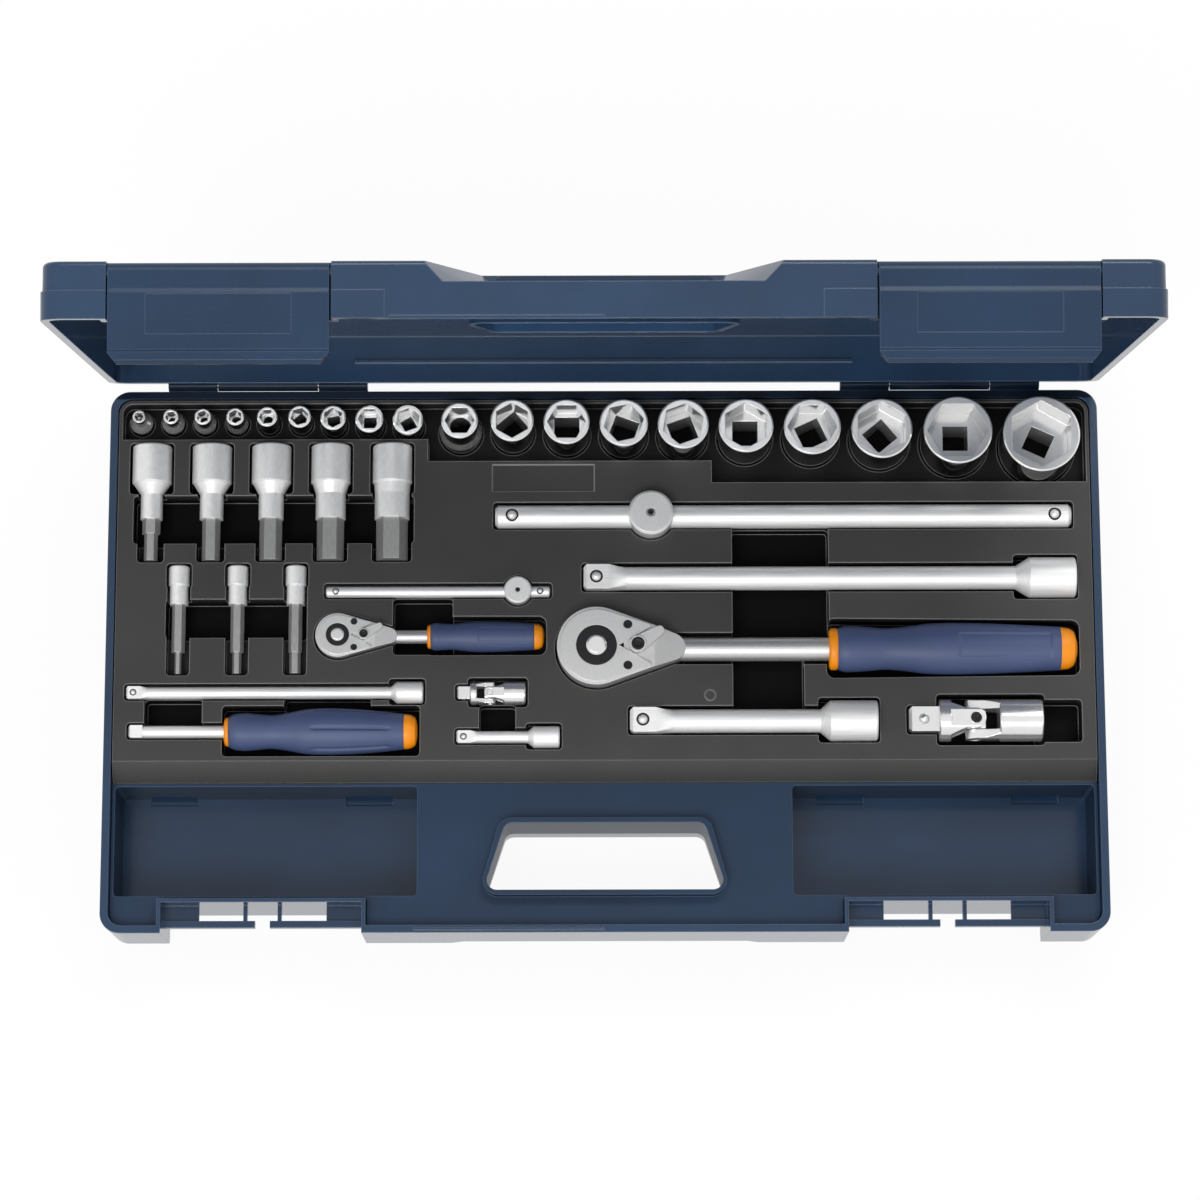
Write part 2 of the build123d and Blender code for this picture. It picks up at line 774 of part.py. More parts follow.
# Sockets stand mouth up, and the small ones are necked where the nose is thinner than the drive end
socket_rows = [("socket_half", half_family, row) for row in half_sockets]
socket_rows += [("socket_quarter", quarter_family, row) for row in quarter_sockets]
for prefix, family, (flats, outer, x, hex_turn, square_turn) in socket_rows:
    drive_end = max(outer, family.drive_end)
    length = family.long_length if flats >= family.long_from else family.length
    hex_depth = length * family.hex_share
    # The square runs up to the hexagon wherever the nose is thick enough around it
    nose_takes_square = outer - 2 * socket_wall > family.square * sqrt(2)
    drive_depth = length - hex_depth if nose_takes_square else family.square
    foot = Plane((x, socket_back - drive_end / 2, family.seat))
    mouth = foot.offset(length)
    with BuildPart() as socket:
        with BuildSketch(foot):
            Circle(drive_end / 2)
        extrude(amount=family.drive_length)
        if drive_end > outer:
            with BuildSketch(foot.offset(family.drive_length)):
                Circle(drive_end / 2)
            with BuildSketch(foot.offset(family.drive_length + family.taper)):
                Circle(outer / 2)
            loft()
        with BuildSketch(mouth):
            Circle(outer / 2)
        extrude(amount=family.drive_length - length)
        chamfer(socket.faces().sort_by(Axis.Z)[0].edges(), socket_chamfer)
        chamfer(socket.faces().sort_by(Axis.Z)[-1].edges(), min(socket_chamfer, (outer - flats) / 6))
        with BuildSketch(mouth):
            hexagon(flats, hex_turn)
        extrude(amount=-hex_depth, mode=Mode.SUBTRACT)
        with BuildSketch(foot):
            Rectangle(family.square + square_fit, family.square + square_fit, rotation=square_turn)
        extrude(amount=drive_depth, mode=Mode.SUBTRACT)
        with BuildSketch(foot):
            Circle(min(flats, family.square) * family.bore_share)
        extrude(amount=length, mode=Mode.SUBTRACT)
    keep(socket.part, f"{prefix}_{size_name(flats)}")


def along_y(x, y, z):
    """A plane across a tool that lies along -Y, with its far side up."""
    return Plane((x, y, z), x_dir=(1, 0, 0), z_dir=(0, -1, 0))


def along_x(x, y, z):
    """A plane across a tool that lies along +X."""
    return Plane((x, y, z), x_dir=(0, 1, 0), z_dir=(1, 0, 0))


# Half-inch hexagon bit sockets: a turned body with the bit pressed into its neck
for flats, shank, neck, x in half_bits:
    drive = along_y(x, half_bit_back, tool_axis)
    neck_end = half_bit_body_length + half_bit_neck_length
    shoulder = drive.offset(half_bit_body_length)
    with BuildPart() as bit_socket:
        with BuildSketch(drive):
            Circle(half_bit_body / 2)
        extrude(amount=half_bit_body_length)
        chamfer(bit_socket.edges().filter_by(GeomType.CIRCLE), socket_chamfer)
        with BuildSketch(shoulder):
            Circle(half_bit_body / 2 - socket_chamfer)
        with BuildSketch(shoulder.offset(half_bit_shoulder)):
            Circle(neck / 2)
        loft()
        with BuildSketch(shoulder):
            Circle(neck / 2)
        extrude(amount=half_bit_neck_length)
        with BuildSketch(drive):
            Rectangle(half_square + square_fit, half_square + square_fit)
        extrude(amount=half_square, mode=Mode.SUBTRACT)
        with BuildSketch(drive.offset(neck_end)):
            hexagon(shank + 2 * bit_fit, 0)
        extrude(amount=half_bit_seat - neck_end, mode=Mode.SUBTRACT)
        with BuildSketch(drive.offset(half_bit_seat + bit_fit)):
            hexagon(shank, 0)
        extrude(amount=half_bit_length - half_bit_tip_length - half_bit_seat - bit_fit)
        with BuildSketch(drive.offset(half_bit_length - half_bit_tip_length)):
            hexagon(flats, 0)
        extrude(amount=half_bit_tip_length)
    keep(bit_socket.part, f"bit_socket_half_{flats}")

# Quarter-inch hexagon bit sockets
for flats, x in quarter_bits:
    drive = along_y(x, quarter_bit_back, tool_axis)
    neck_end = quarter_bit_body_length + quarter_bit_neck_length
    with BuildPart() as bit_socket:
        with BuildSketch(drive):
            Circle(quarter_bit_body / 2)
        extrude(amount=quarter_bit_body_length)
        chamfer(bit_socket.edges().filter_by(GeomType.CIRCLE), socket_chamfer)
        with BuildSketch(drive.offset(quarter_bit_body_length)):
            Circle(quarter_bit_neck / 2)
        extrude(amount=quarter_bit_neck_length)
        with BuildSketch(drive):
            Rectangle(quarter_square + square_fit, quarter_square + square_fit)
        extrude(amount=quarter_square, mode=Mode.SUBTRACT)
        with BuildSketch(drive.offset(neck_end)):
            hexagon(quarter_bit_shank + 2 * bit_fit, 0)
        extrude(amount=quarter_bit_seat - neck_end, mode=Mode.SUBTRACT)
        with BuildSketch(drive.offset(quarter_bit_seat + bit_fit)):
            hexagon(quarter_bit_shank, 0)
        extrude(amount=quarter_bit_length - quarter_bit_tip_length - quarter_bit_seat - bit_fit)
        with BuildSketch(drive.offset(quarter_bit_length - quarter_bit_tip_length)):
            hexagon(flats, 0)
        extrude(amount=quarter_bit_tip_length)
    keep(bit_socket.part, f"bit_socket_quarter_{flats}")


def square_end(start, y, square, length):
    """Male drive square that points to -X from a tool's start, chamfered at its tip."""
    tip = square / 8
    with BuildSketch(along_x(start + tip, y, tool_axis)) as full:
        Rectangle(square, square)
    with BuildSketch(along_x(start, y, tool_axis)) as end:
        Rectangle(square - 2 * tip, square - 2 * tip)
    extrude(full.sketch, amount=length - tip)
    loft([end.sketch, full.sketch])


def detent_ball(x, y, top, ball):
    """A ball that stands out of its drilled seat by a quarter of its diameter."""
    with BuildSketch(Plane((x, y, top - ball))) as seat:
        Circle(ball / 2 + ball_fit)
    extrude(seat.sketch, amount=ball, mode=Mode.SUBTRACT)
    with Locations((x, y, top - ball / 4)):
        Sphere(ball / 2)


# Sliding T-bars
for bar in (half_tbar, quarter_tbar):
    with BuildPart() as rod:
        with BuildSketch(along_x(bar.start, bar.y, tool_axis)):
            Circle(bar.bar / 2)
        extrude(amount=bar.length)
        chamfer(rod.edges().filter_by(GeomType.CIRCLE), bar.bar / 8)
        for ball_x in (bar.start + bar.ball_inset, bar.start + bar.length - bar.ball_inset):
            detent_ball(ball_x, bar.y, tool_axis + bar.bar / 2, bar.ball)
    keep(rod.part, bar.name)
    head_plane = Plane((bar.head_x, bar.y, tool_axis - bar.head_height / 2))
    with BuildPart() as head:
        with BuildSketch(head_plane):
            Circle(bar.head / 2)
        extrude(amount=bar.head_height)
        chamfer(head.edges().filter_by(GeomType.CIRCLE), bar.head / 20)
        with BuildSketch(head_plane.offset(-bar.square_length)):
            Rectangle(bar.square, bar.square)
        extrude(amount=bar.square_length)
        with BuildSketch(along_x(bar.head_x - bar.head, bar.y, tool_axis)):
            Circle(bar.bar / 2 + running_fit)
        extrude(amount=2 * bar.head, mode=Mode.SUBTRACT)
        with BuildSketch(Plane((bar.head_x, bar.y, tool_axis))):
            Circle(bar.head_bore / 2)
        extrude(amount=bar.head_height, mode=Mode.SUBTRACT)
    keep(head.part, f"{bar.name}_head")

# Extension bars
for ext in extensions:
    end_start = ext.start + ext.length - ext.end_length
    with BuildPart() as extension:
        square_end(ext.start, ext.y, ext.square, ext.square_length)
        # The flats run out into the round shaft
        shaft_start = ext.start + ext.square_length + ext.run_out
        with BuildSketch(along_x(ext.start + ext.square_length, ext.y, tool_axis)):
            Rectangle(ext.square, ext.square)
        with BuildSketch(along_x(shaft_start, ext.y, tool_axis)):
            Circle(ext.shaft / 2)
        loft()
        with BuildSketch(along_x(shaft_start, ext.y, tool_axis)):
            Circle(ext.shaft / 2)
        extrude(amount=end_start - ext.flare - shaft_start)
        with BuildSketch(along_x(end_start - ext.flare, ext.y, tool_axis)):
            Circle(ext.shaft / 2)
        with BuildSketch(along_x(end_start, ext.y, tool_axis)):
            Circle(ext.end / 2)
        loft()
        with BuildSketch(along_x(end_start, ext.y, tool_axis)):
            Circle(ext.end / 2)
        extrude(amount=ext.end_length)
        chamfer(extension.faces().sort_by(Axis.X)[-1].edges(), socket_chamfer)
        with BuildSketch(along_x(ext.start + ext.length, ext.y, tool_axis)):
            Rectangle(ext.square + square_fit, ext.square + square_fit)
        extrude(amount=-ext.square_length, mode=Mode.SUBTRACT)
        detent_ball(ext.start + ext.square_length / 2, ext.y, tool_axis + ext.square / 2, ext.ball)
    keep(extension.part, ext.name)


def grip_profile(places):
    """Half outline of a turned piece: pairs of X place and diameter, closed along the axis."""
    points = [(x, diameter / 2) for x, diameter in places]
    return [(points[0][0], 0)] + points + [(points[-1][0], 0)]


def turned(y, places, mode=Mode.ADD):
    """A piece turned about a tool's axis, with straight runs between the given places."""
    with BuildSketch(Plane((0, y, tool_axis), x_dir=(1, 0, 0), z_dir=(0, -1, 0))) as profile:
        Polygon(*grip_profile(places), align=None)
    revolve(profile.sketch, axis=Axis((0, y, tool_axis), (1, 0, 0)), mode=mode)


# Reversible ratchets
for tool in (half_ratchet, quarter_ratchet):
    head_bottom = tool_axis - tool.head_thickness / 2
    head_top = tool_axis + tool.head_thickness / 2
    head_middle = Plane((tool.head_x, tool.y, head_bottom))
    cavity_floor = head_bottom + 3 * tool.boss_height
    lever_turn = radians(tool.lever_angle)
    grip_bore = tool.shank / 2 + ball_fit
    # Head, neck and shank, with the cavity for the gear
    with BuildPart() as body:
        with BuildSketch(head_middle):
            Circle(tool.head_radius)
            with Locations((tool.neck_x - tool.head_x, 0)):
                Circle(tool.neck_radius)
            make_hull()
        extrude(amount=tool.head_thickness)
        with BuildSketch(Plane.XZ.offset(-tool.y - tool.head_radius)):
            Polygon(
                (tool.lever_x + tool.lever_boss, head_top),
                (tool.neck_x + tool.neck_radius, head_top),
                (tool.neck_x + tool.neck_radius, tool_axis + tool.shank / 2),
                align=None,
            )
            Polygon(
                (tool.head_x + tool.head_radius, head_bottom),
                (tool.neck_x + tool.neck_radius, head_bottom),
                (tool.neck_x + tool.neck_radius, tool_axis - tool.shank / 2),
                align=None,
            )
        extrude(amount=2 * tool.head_radius, mode=Mode.SUBTRACT)
        turned(tool.y, [(tool.neck_x, tool.shank), (tool.sleeve_end_x - tool.shank, tool.shank)])
        with BuildSketch(Plane((tool.head_x, tool.y, cavity_floor))):
            Circle(tool.gear / 2 + thrust_gap)
        extrude(amount=tool.head_thickness, mode=Mode.SUBTRACT)
        with BuildSketch(head_middle):
            Circle(tool.boss / 2 + running_fit)
        extrude(amount=tool.head_thickness, mode=Mode.SUBTRACT)
        # Holes for the lever's stem and the cover screws
        with BuildSketch(Plane((0, 0, tool_axis))):
            with Locations((tool.lever_x, tool.y)):
                Circle(tool.lever_boss / 4 + running_fit)
            with Locations((tool.screw_x, tool.y)):
                with GridLocations(0, 2 * tool.screw_spread, 1, 2):
                    Circle(tool.screw / 4 + ball_fit)
        extrude(amount=tool.head_thickness, mode=Mode.SUBTRACT)
        # Cover plate with its notch for the lever
        with BuildSketch(Plane((0, tool.y, head_top + bit_fit))):
            with Locations((tool.head_x, 0)):
                Circle(tool.head_radius - tool.cover)
            with Locations((tool.cover_tail_x - tool.screw / 4, 0)):
                with GridLocations(0, 2 * tool.cover_tail - tool.screw, 1, 2):
                    Circle(tool.screw / 4)
            make_hull()
            Polygon(
                (tool.notch_x, 0),
                (tool.cover_tail_x + tool.screw, tool.cover_tail),
                (tool.cover_tail_x + tool.screw, -tool.cover_tail),
                align=None,
                mode=Mode.SUBTRACT,
            )
            with Locations((tool.head_x, 0)):
                Circle(tool.ring / 2 + running_fit, mode=Mode.SUBTRACT)
            with Locations((tool.screw_x, 0)):
                with GridLocations(0, 2 * tool.screw_spread, 1, 2):
                    Circle(tool.screw / 2 + ball_fit, mode=Mode.SUBTRACT)
        extrude(amount=tool.cover)
        # Cover screws, heads flush with the plate
        with BuildSketch(Plane((tool.screw_x, tool.y, head_top + 2 * bit_fit))):
            with GridLocations(0, 2 * tool.screw_spread, 1, 2):
                Circle(tool.screw / 2)
        extrude(amount=tool.cover)
        with BuildSketch(Plane((tool.screw_x, tool.y, head_top + 2 * bit_fit))):
            with GridLocations(0, 2 * tool.screw_spread, 1, 2):
                Circle(tool.screw / 4)
        extrude(amount=-tool.screw)
    keep(body.part, f"{tool.name}_body")
    # Drive: ratchet gear with its ring above, its boss and square below
    gear_bottom = cavity_floor + thrust_gap
    gear_top = head_top - thrust_gap
    square_top = head_bottom - tool.boss_height
    with BuildPart() as drive:
        with BuildSketch(Plane((tool.head_x, tool.y, gear_bottom))):
            Circle(tool.gear / 2)
            with PolarLocations(tool.gear / 2, tool.gear_teeth):
                RegularPolygon(tool.tooth_depth, 3, mode=Mode.SUBTRACT)
        extrude(amount=gear_top - gear_bottom)
        with BuildSketch(Plane((tool.head_x, tool.y, gear_top))):
            Circle(tool.ring / 2)
        extrude(amount=head_top + tool.cover + bit_fit - gear_top)
        with BuildSketch(Plane((tool.head_x, tool.y, square_top))):
            Circle(tool.boss / 2)
        extrude(amount=gear_bottom - square_top)
        with BuildSketch(Plane((tool.head_x, tool.y, square_top - tool.square_length))):
            Rectangle(tool.square, tool.square)
        extrude(amount=tool.square_length)
        with BuildSketch(Plane((tool.head_x, tool.y, tool_axis))):
            Circle(tool.button / 2 + running_fit)
        extrude(amount=tool.head_thickness, mode=Mode.SUBTRACT)
    keep(drive.part, f"{tool.name}_drive")
    # Release button in the bore of the drive
    button_bottom = tool_axis + tool.button_travel + thrust_gap
    with BuildPart() as button:
        with BuildSketch(Plane((tool.head_x, tool.y, button_bottom))):
            Circle(tool.button / 2)
        extrude(amount=head_top + tool.cover + tool.button_travel - button_bottom)
        chamfer(button.faces().sort_by(Axis.Z)[-1].edges(), tool.button / 10)
    keep(button.part, f"{tool.name}_button")
    # Reversing lever: boss, arm and stem
    lever_plane = Plane((tool.lever_x, tool.y, head_top + thrust_gap))
    with BuildPart() as lever:
        with BuildSketch(lever_plane):
            Circle(tool.lever_boss / 2)
            with Locations((tool.lever_arm * cos(lever_turn), tool.lever_arm * sin(lever_turn))):
                Circle(tool.lever_width / 2)
            make_hull()
        extrude(amount=tool.lever_height)
        with BuildSketch(lever_plane.offset(tool.lever_height)):
            Circle(tool.lever_boss / 2)
        extrude(amount=tool.lever_height / 4)
        with BuildSketch(lever_plane.offset(tool.lever_height / 2)):
            Circle(tool.lever_boss / 4)
        extrude(amount=tool.lever_height, mode=Mode.SUBTRACT)
        with BuildSketch(lever_plane):
            Circle(tool.lever_boss / 4)
        extrude(amount=-tool.head_thickness / 3)
    keep(lever.part, f"{tool.name}_lever")
    # Grip: an inner core that shows as collar and end cap, and the sleeve over it
    cap_end = tool.sleeve_end_x + tool.cap_length
    sleeve = [
        (tool.sleeve_x, tool.collar + tool.core_wall),
        (tool.waist_x, tool.waist),
        (tool.bulge_x, tool.bulge),
        ((tool.bulge_x + tool.sleeve_end_x) / 2, tool.bulge),
        (tool.sleeve_end_x, tool.sleeve_end),
    ]
    core = tool.waist - 2 * tool.core_wall
    with BuildPart() as grip:
        turned(
            tool.y,
            [
                (tool.collar_x, tool.collar - tool.core_wall),
                (tool.collar_x + tool.core_wall / 2, tool.collar),
                (tool.sleeve_x - bit_fit, tool.collar),
                (tool.sleeve_x - bit_fit, core),
                (tool.sleeve_end_x + bit_fit, core),
                (tool.sleeve_end_x + bit_fit, tool.sleeve_end),
                (cap_end - tool.cap_length / 2, tool.sleeve_end - tool.core_wall / 2),
                (cap_end - tool.cap_length / 8, tool.sleeve_end * cap_shoulder),
                (cap_end, tool.sleeve_end * cap_tip),
            ],
        )
        bore_end = tool.sleeve_end_x - tool.shank + thrust_gap
        turned(
            tool.y,
            [(tool.collar_x - 1, 2 * grip_bore), (bore_end, 2 * grip_bore)],
            mode=Mode.SUBTRACT,
        )
    with BuildPart() as rubber:
        turned(tool.y, sleeve)
        turned(
            tool.y,
            [(tool.sleeve_x - 1, core + 2 * ball_fit), (tool.sleeve_end_x + 1, core + 2 * ball_fit)],
            mode=Mode.SUBTRACT,
        )
    keep(Compound(children=[grip.part, rubber.part]), f"{tool.name}_grip")

def ear_outline(root_x, root_half, neck_x, pin_x, pin_half):
    """Corner points of a fork's ear, wide at its root and straight from its neck to its pin."""
    return (
        (root_x, -root_half),
        (neck_x, -pin_half),
        (pin_x, -pin_half),
        (pin_x, pin_half),
        (neck_x, pin_half),
        (root_x, root_half),
    )


# Universal joints: the drive fork's pin stands upright, the socket fork's pin lies across,
# and then the joint is rolled about its own length
for joint in (half_universal, quarter_universal):
    joint_line = Axis((0, joint.y, tool_axis), (1, 0, 0))
    pivot_x = joint.start + joint.pivot
    hub_x = joint.start + joint.square_length
    prong_inner = joint.prong / 2 + thrust_gap
    prong_outer = joint.body / 2 - joint.prong / 12
    pin_reach = prong_outer - thrust_gap
    socket_x = pivot_x + joint.fork_reach
    ear_root = sqrt((joint.body / 2) ** 2 - prong_inner**2)
    drive_root = hub_x + joint.hub_length / 2
    socket_root = socket_x + joint.socket_length / 4
    pin_half = joint.prong / 2
    with BuildPart() as drive_ears:
        for side in sides:
            with BuildSketch(Plane((0, joint.y, tool_axis + side * prong_inner))):
                drive_ear = ear_outline(drive_root, ear_root, pivot_x - pin_half, pivot_x, pin_half)
                Polygon(*drive_ear, align=None)
                with Locations((pivot_x, 0)):
                    Circle(pin_half)
                    Circle(joint.pin / 2 + running_fit, mode=Mode.SUBTRACT)
            extrude(amount=side * (prong_outer - prong_inner))
        with BuildSketch(along_x(hub_x, joint.y, tool_axis)):
            Circle(joint.body / 2)
        extrude(amount=socket_root - hub_x, mode=Mode.INTERSECT)
    with BuildPart() as drive_fork:
        square_end(joint.start, joint.y, joint.square, joint.square_length)
        with BuildSketch(along_x(hub_x, joint.y, tool_axis)):
            Circle(joint.body / 2)
        extrude(amount=joint.hub_length)
        chamfer(drive_fork.edges().filter_by(GeomType.CIRCLE), socket_chamfer)
        add(drive_ears.part)
        square_middle = joint.start + joint.square_length / 2
        detent_ball(square_middle, joint.y, tool_axis + joint.square / 2, joint.ball)
    keep(drive_fork.part.rotate(joint_line, joint.roll), f"{joint.name}_drive_fork")
    with BuildPart() as cross:
        with Locations((pivot_x, joint.y, tool_axis)):
            Box(joint.prong, joint.prong, joint.prong)
            Cylinder(joint.pin / 2, 2 * pin_reach)
            Cylinder(joint.pin / 2, 2 * pin_reach, rotation=(90, 0, 0))
        fillet(cross.edges().filter_by(Axis.X), joint.prong / 8)
    keep(cross.part.rotate(joint_line, joint.roll), f"{joint.name}_cross")
    with BuildPart() as socket_ears:
        for side in sides:
            with BuildSketch(Plane.XZ.offset(-joint.y - side * prong_inner)):
                with Locations((0, tool_axis)):
                    socket_ear = ear_outline(socket_root, ear_root, pivot_x + pin_half, pivot_x, pin_half)
                    Polygon(*socket_ear, align=None)
                with Locations((pivot_x, tool_axis)):
                    Circle(pin_half)
                    Circle(joint.pin / 2 + running_fit, mode=Mode.SUBTRACT)
            extrude(amount=-side * (prong_outer - prong_inner))
        with BuildSketch(along_x(hub_x, joint.y, tool_axis)):
            Circle(joint.body / 2)
        extrude(amount=socket_root - hub_x, mode=Mode.INTERSECT)
    with BuildPart() as socket_fork:
        with BuildSketch(along_x(socket_x, joint.y, tool_axis)):
            Circle(joint.body / 2)
        extrude(amount=joint.socket_length)
        chamfer(socket_fork.edges().filter_by(GeomType.CIRCLE), socket_chamfer)
        add(socket_ears.part)
        with BuildSketch(along_x(socket_x + joint.socket_length, joint.y, tool_axis)):
            Rectangle(joint.square + square_fit, joint.square + square_fit)
        extrude(amount=-joint.square, mode=Mode.SUBTRACT)
    keep(socket_fork.part.rotate(joint_line, joint.roll), f"{joint.name}_socket_fork")

# Spinner handle: blade with a square end, and a fluted two-part grip
with BuildPart() as spinner_blade:
    square_end(spinner_start, spinner_y, quarter_square, spinner_square_length)
    turned(
        spinner_y,
        [(spinner_start + spinner_square_length, spinner_shaft), (spinner_bulge_x, spinner_shaft)],
    )
keep(spinner_blade.part, "spinner_blade")
spinner_core = spinner_waist - 2 * spinner_core_wall
spinner_cap_end = spinner_sleeve_end_x + spinner_cap_length
with BuildPart() as spinner_core_part:
    turned(
        spinner_y,
        [
            (spinner_collar_x, spinner_collar - spinner_core_wall),
            (spinner_collar_x + spinner_core_wall / 2, spinner_collar),
            (spinner_sleeve_x - bit_fit, spinner_collar),
            (spinner_sleeve_x - bit_fit, spinner_core),
            (spinner_sleeve_end_x + bit_fit, spinner_core),
            (spinner_sleeve_end_x + bit_fit, spinner_sleeve_end),
            (spinner_cap_end - spinner_cap_length / 2, spinner_sleeve_end - spinner_core_wall / 2),
            (spinner_cap_end - spinner_cap_length / 8, spinner_sleeve_end * cap_shoulder),
            (spinner_cap_end, spinner_sleeve_end * cap_tip),
        ],
    )
    turned(
        spinner_y,
        [
            (spinner_collar_x - 1, spinner_shaft + 2 * ball_fit),
            (spinner_bulge_x + thrust_gap, spinner_shaft + 2 * ball_fit),
        ],
        mode=Mode.SUBTRACT,
    )
with BuildPart() as spinner_sleeve:
    turned(
        spinner_y,
        [
            (spinner_sleeve_x, spinner_collar + spinner_core_wall),
            ((spinner_sleeve_x + spinner_waist_x) / 2, spinner_waist + spinner_core_wall),
            (spinner_waist_x, spinner_waist),
            (spinner_bulge_x, spinner_bulge),
            ((spinner_bulge_x + spinner_sleeve_end_x) / 2, spinner_bulge),
            (spinner_sleeve_end_x, spinner_sleeve_end),
        ],
    )
    turned(
        spinner_y,
        [
            (spinner_sleeve_x - 1, spinner_core + 2 * ball_fit),
            (spinner_sleeve_end_x + 1, spinner_core + 2 * ball_fit),
        ],
        mode=Mode.SUBTRACT,
    )
    with BuildSketch(along_x(spinner_bulge_x - spinner_flute, spinner_y, tool_axis)):
        with PolarLocations(spinner_bulge / 2 + spinner_flute / 3, spinner_flutes, start_angle=30):
            Circle(spinner_flute / 2)
    extrude(amount=(spinner_sleeve_end_x - spinner_bulge_x) * spinner_flute_share, mode=Mode.SUBTRACT)
keep(Compound(children=[spinner_core_part.part, spinner_sleeve.part]), "spinner_grip")


# Tray insert: every well below is an opening with a floor, and the tray grows a skin around all of them
def span(left, right, low, high, floor):
    """A rectangular well given by its edges."""
    return ("span", ((left + right) / 2, (low + high) / 2, right - left, high - low), floor)


def lying(start, end, y, width, floor):
    """A well for a stretch of a tool that lies along X."""
    half = width / 2 + pocket_clearance
    return span(start - pocket_clearance, end + pocket_clearance, y - half, y + half, floor)


def round_well(x, y, radius, floor):
    """A round well."""
    return ("round", (x, y, radius), floor)


def teardrop_well(x, y, radius, end_x, end_radius, floor):
    """A well around a large circle, its common tangents and a smaller circle further along X."""
    return ("teardrop", (x, y, radius, end_x, end_radius), floor)


def tapered_well(start, end, y, start_width, end_width, floor):
    """A well around a grip that narrows along X."""
    low, high = start - pocket_clearance, end + pocket_clearance
    start_half = start_width / 2 + pocket_clearance
    end_half = end_width / 2 + pocket_clearance
    return ("tapered", (low, high, y, start_half, end_half), floor)


def seat_under(diameter):
    """Floor height under a lying round piece."""
    return tool_axis - diameter / 2 - seat_gap


wells = []
for prefix, family, (flats, outer, x, hex_turn, square_turn) in socket_rows:
    radius = max(outer, family.drive_end) / 2
    wells.append(round_well(x, socket_back - radius, radius + hole_clearance, family.seat - seat_gap))
for flats, shank, neck, x in half_bits:
    body_half = half_bit_body / 2 + pocket_clearance
    neck_half = max(neck, shank * 2 / sqrt(3)) / 2 + pocket_clearance
    body_end = half_bit_back - half_bit_body_length - half_bit_shoulder
    tip = half_bit_back - half_bit_length - pocket_clearance
    body_back = half_bit_back + pocket_clearance
    wells.append(span(x - body_half, x + body_half, body_end, body_back, seat_under(half_bit_body)))
    neck_back = body_end + 2 * pocket_round
    wells.append(span(x - neck_half, x + neck_half, tip, neck_back, seat_under(2 * neck_half)))
for flats, x in quarter_bits:
    body_half = quarter_bit_body / 2 + pocket_clearance
    neck_half = quarter_bit_neck / 2 + pocket_clearance
    body_end = quarter_bit_back - quarter_bit_body_length - pocket_clearance
    tip = quarter_bit_back - quarter_bit_length - pocket_clearance
    body_back = quarter_bit_back + pocket_clearance
    neck_back = body_end + 2 * pocket_round
    wells.append(span(x - body_half, x + body_half, body_end, body_back, seat_under(quarter_bit_body)))
    wells.append(span(x - neck_half, x + neck_half, tip, neck_back, seat_under(quarter_bit_neck)))
for bar in (half_tbar, quarter_tbar):
    head_bottom = tool_axis - bar.head_height / 2
    wells.append(lying(bar.start, bar.start + bar.length, bar.y, bar.bar, seat_under(bar.bar)))
    wells.append(round_well(bar.head_x, bar.y, bar.head / 2 + pocket_clearance, head_bottom - seat_gap))
    square_radius = bar.square / sqrt(2) + pocket_clearance
    square_floor = head_bottom - bar.square_length - seat_gap
    wells.append(round_well(bar.head_x, bar.y, square_radius, square_floor))
for ext in extensions:
    end = ext.start + ext.length
    thick = max(ext.square, ext.shaft)
    wells.append(lying(ext.start, end, ext.y, thick, seat_under(thick)))
    wells.append(lying(end - ext.end_length - ext.flare, end, ext.y, ext.end, seat_under(ext.end)))
for tool in (half_ratchet, quarter_ratchet):
    head_bottom = tool_axis - tool.head_thickness / 2
    square_foot = head_bottom - tool.boss_height - tool.square_length
    wells.append(
        teardrop_well(
            tool.head_x,
            tool.y,
            tool.head_radius + pocket_clearance,
            tool.neck_x,
            tool.neck_radius + pocket_clearance,
            head_bottom - seat_gap,
        )
    )
    neck = 2 * tool.neck_radius
    wells.append(lying(tool.neck_x, tool.sleeve_x + pocket_round, tool.y, neck, seat_under(neck)))
    cap_end = tool.sleeve_end_x + tool.cap_length
    end_width = tool.sleeve_end + 2 * pocket_round
    start_width = tool.bulge + pocket_round
    wells.append(
        tapered_well(tool.collar_x, cap_end, tool.y, start_width, end_width, seat_under(tool.bulge))
    )
    wells.append(
        round_well(tool.head_x, tool.y, tool.boss / 2 + pocket_clearance, square_foot - seat_gap)
    )
for joint in (half_universal, quarter_universal):
    hub_x = joint.start + joint.square_length
    fork_end = joint.start + joint.pivot + joint.fork_reach + joint.socket_length
    sway = (fork_end - joint.start - joint.pivot) * sin(radians(universal_swing))
    wells.append(lying(joint.start, hub_x, joint.y, joint.square, seat_under(joint.square)))
    wells.append(lying(hub_x, fork_end, joint.y, joint.body + 2 * sway, seat_under(joint.body)))
wells.append(lying(spinner_start, spinner_sleeve_x, spinner_y, spinner_shaft, seat_under(spinner_shaft)))
wells.append(
    lying(spinner_collar_x, spinner_cap_end, spinner_y, spinner_bulge, seat_under(spinner_bulge))
)
for left, right, low, high in finger_recesses:
    wells.append(span(left, right, low, high, finger_floor))
tray_half_width = inner_half_width - tray_gap
tray_back = inner_half_depth - tray_gap
channel_back = tray_back - channel_margin
channel_end = tray_half_width - channel_margin


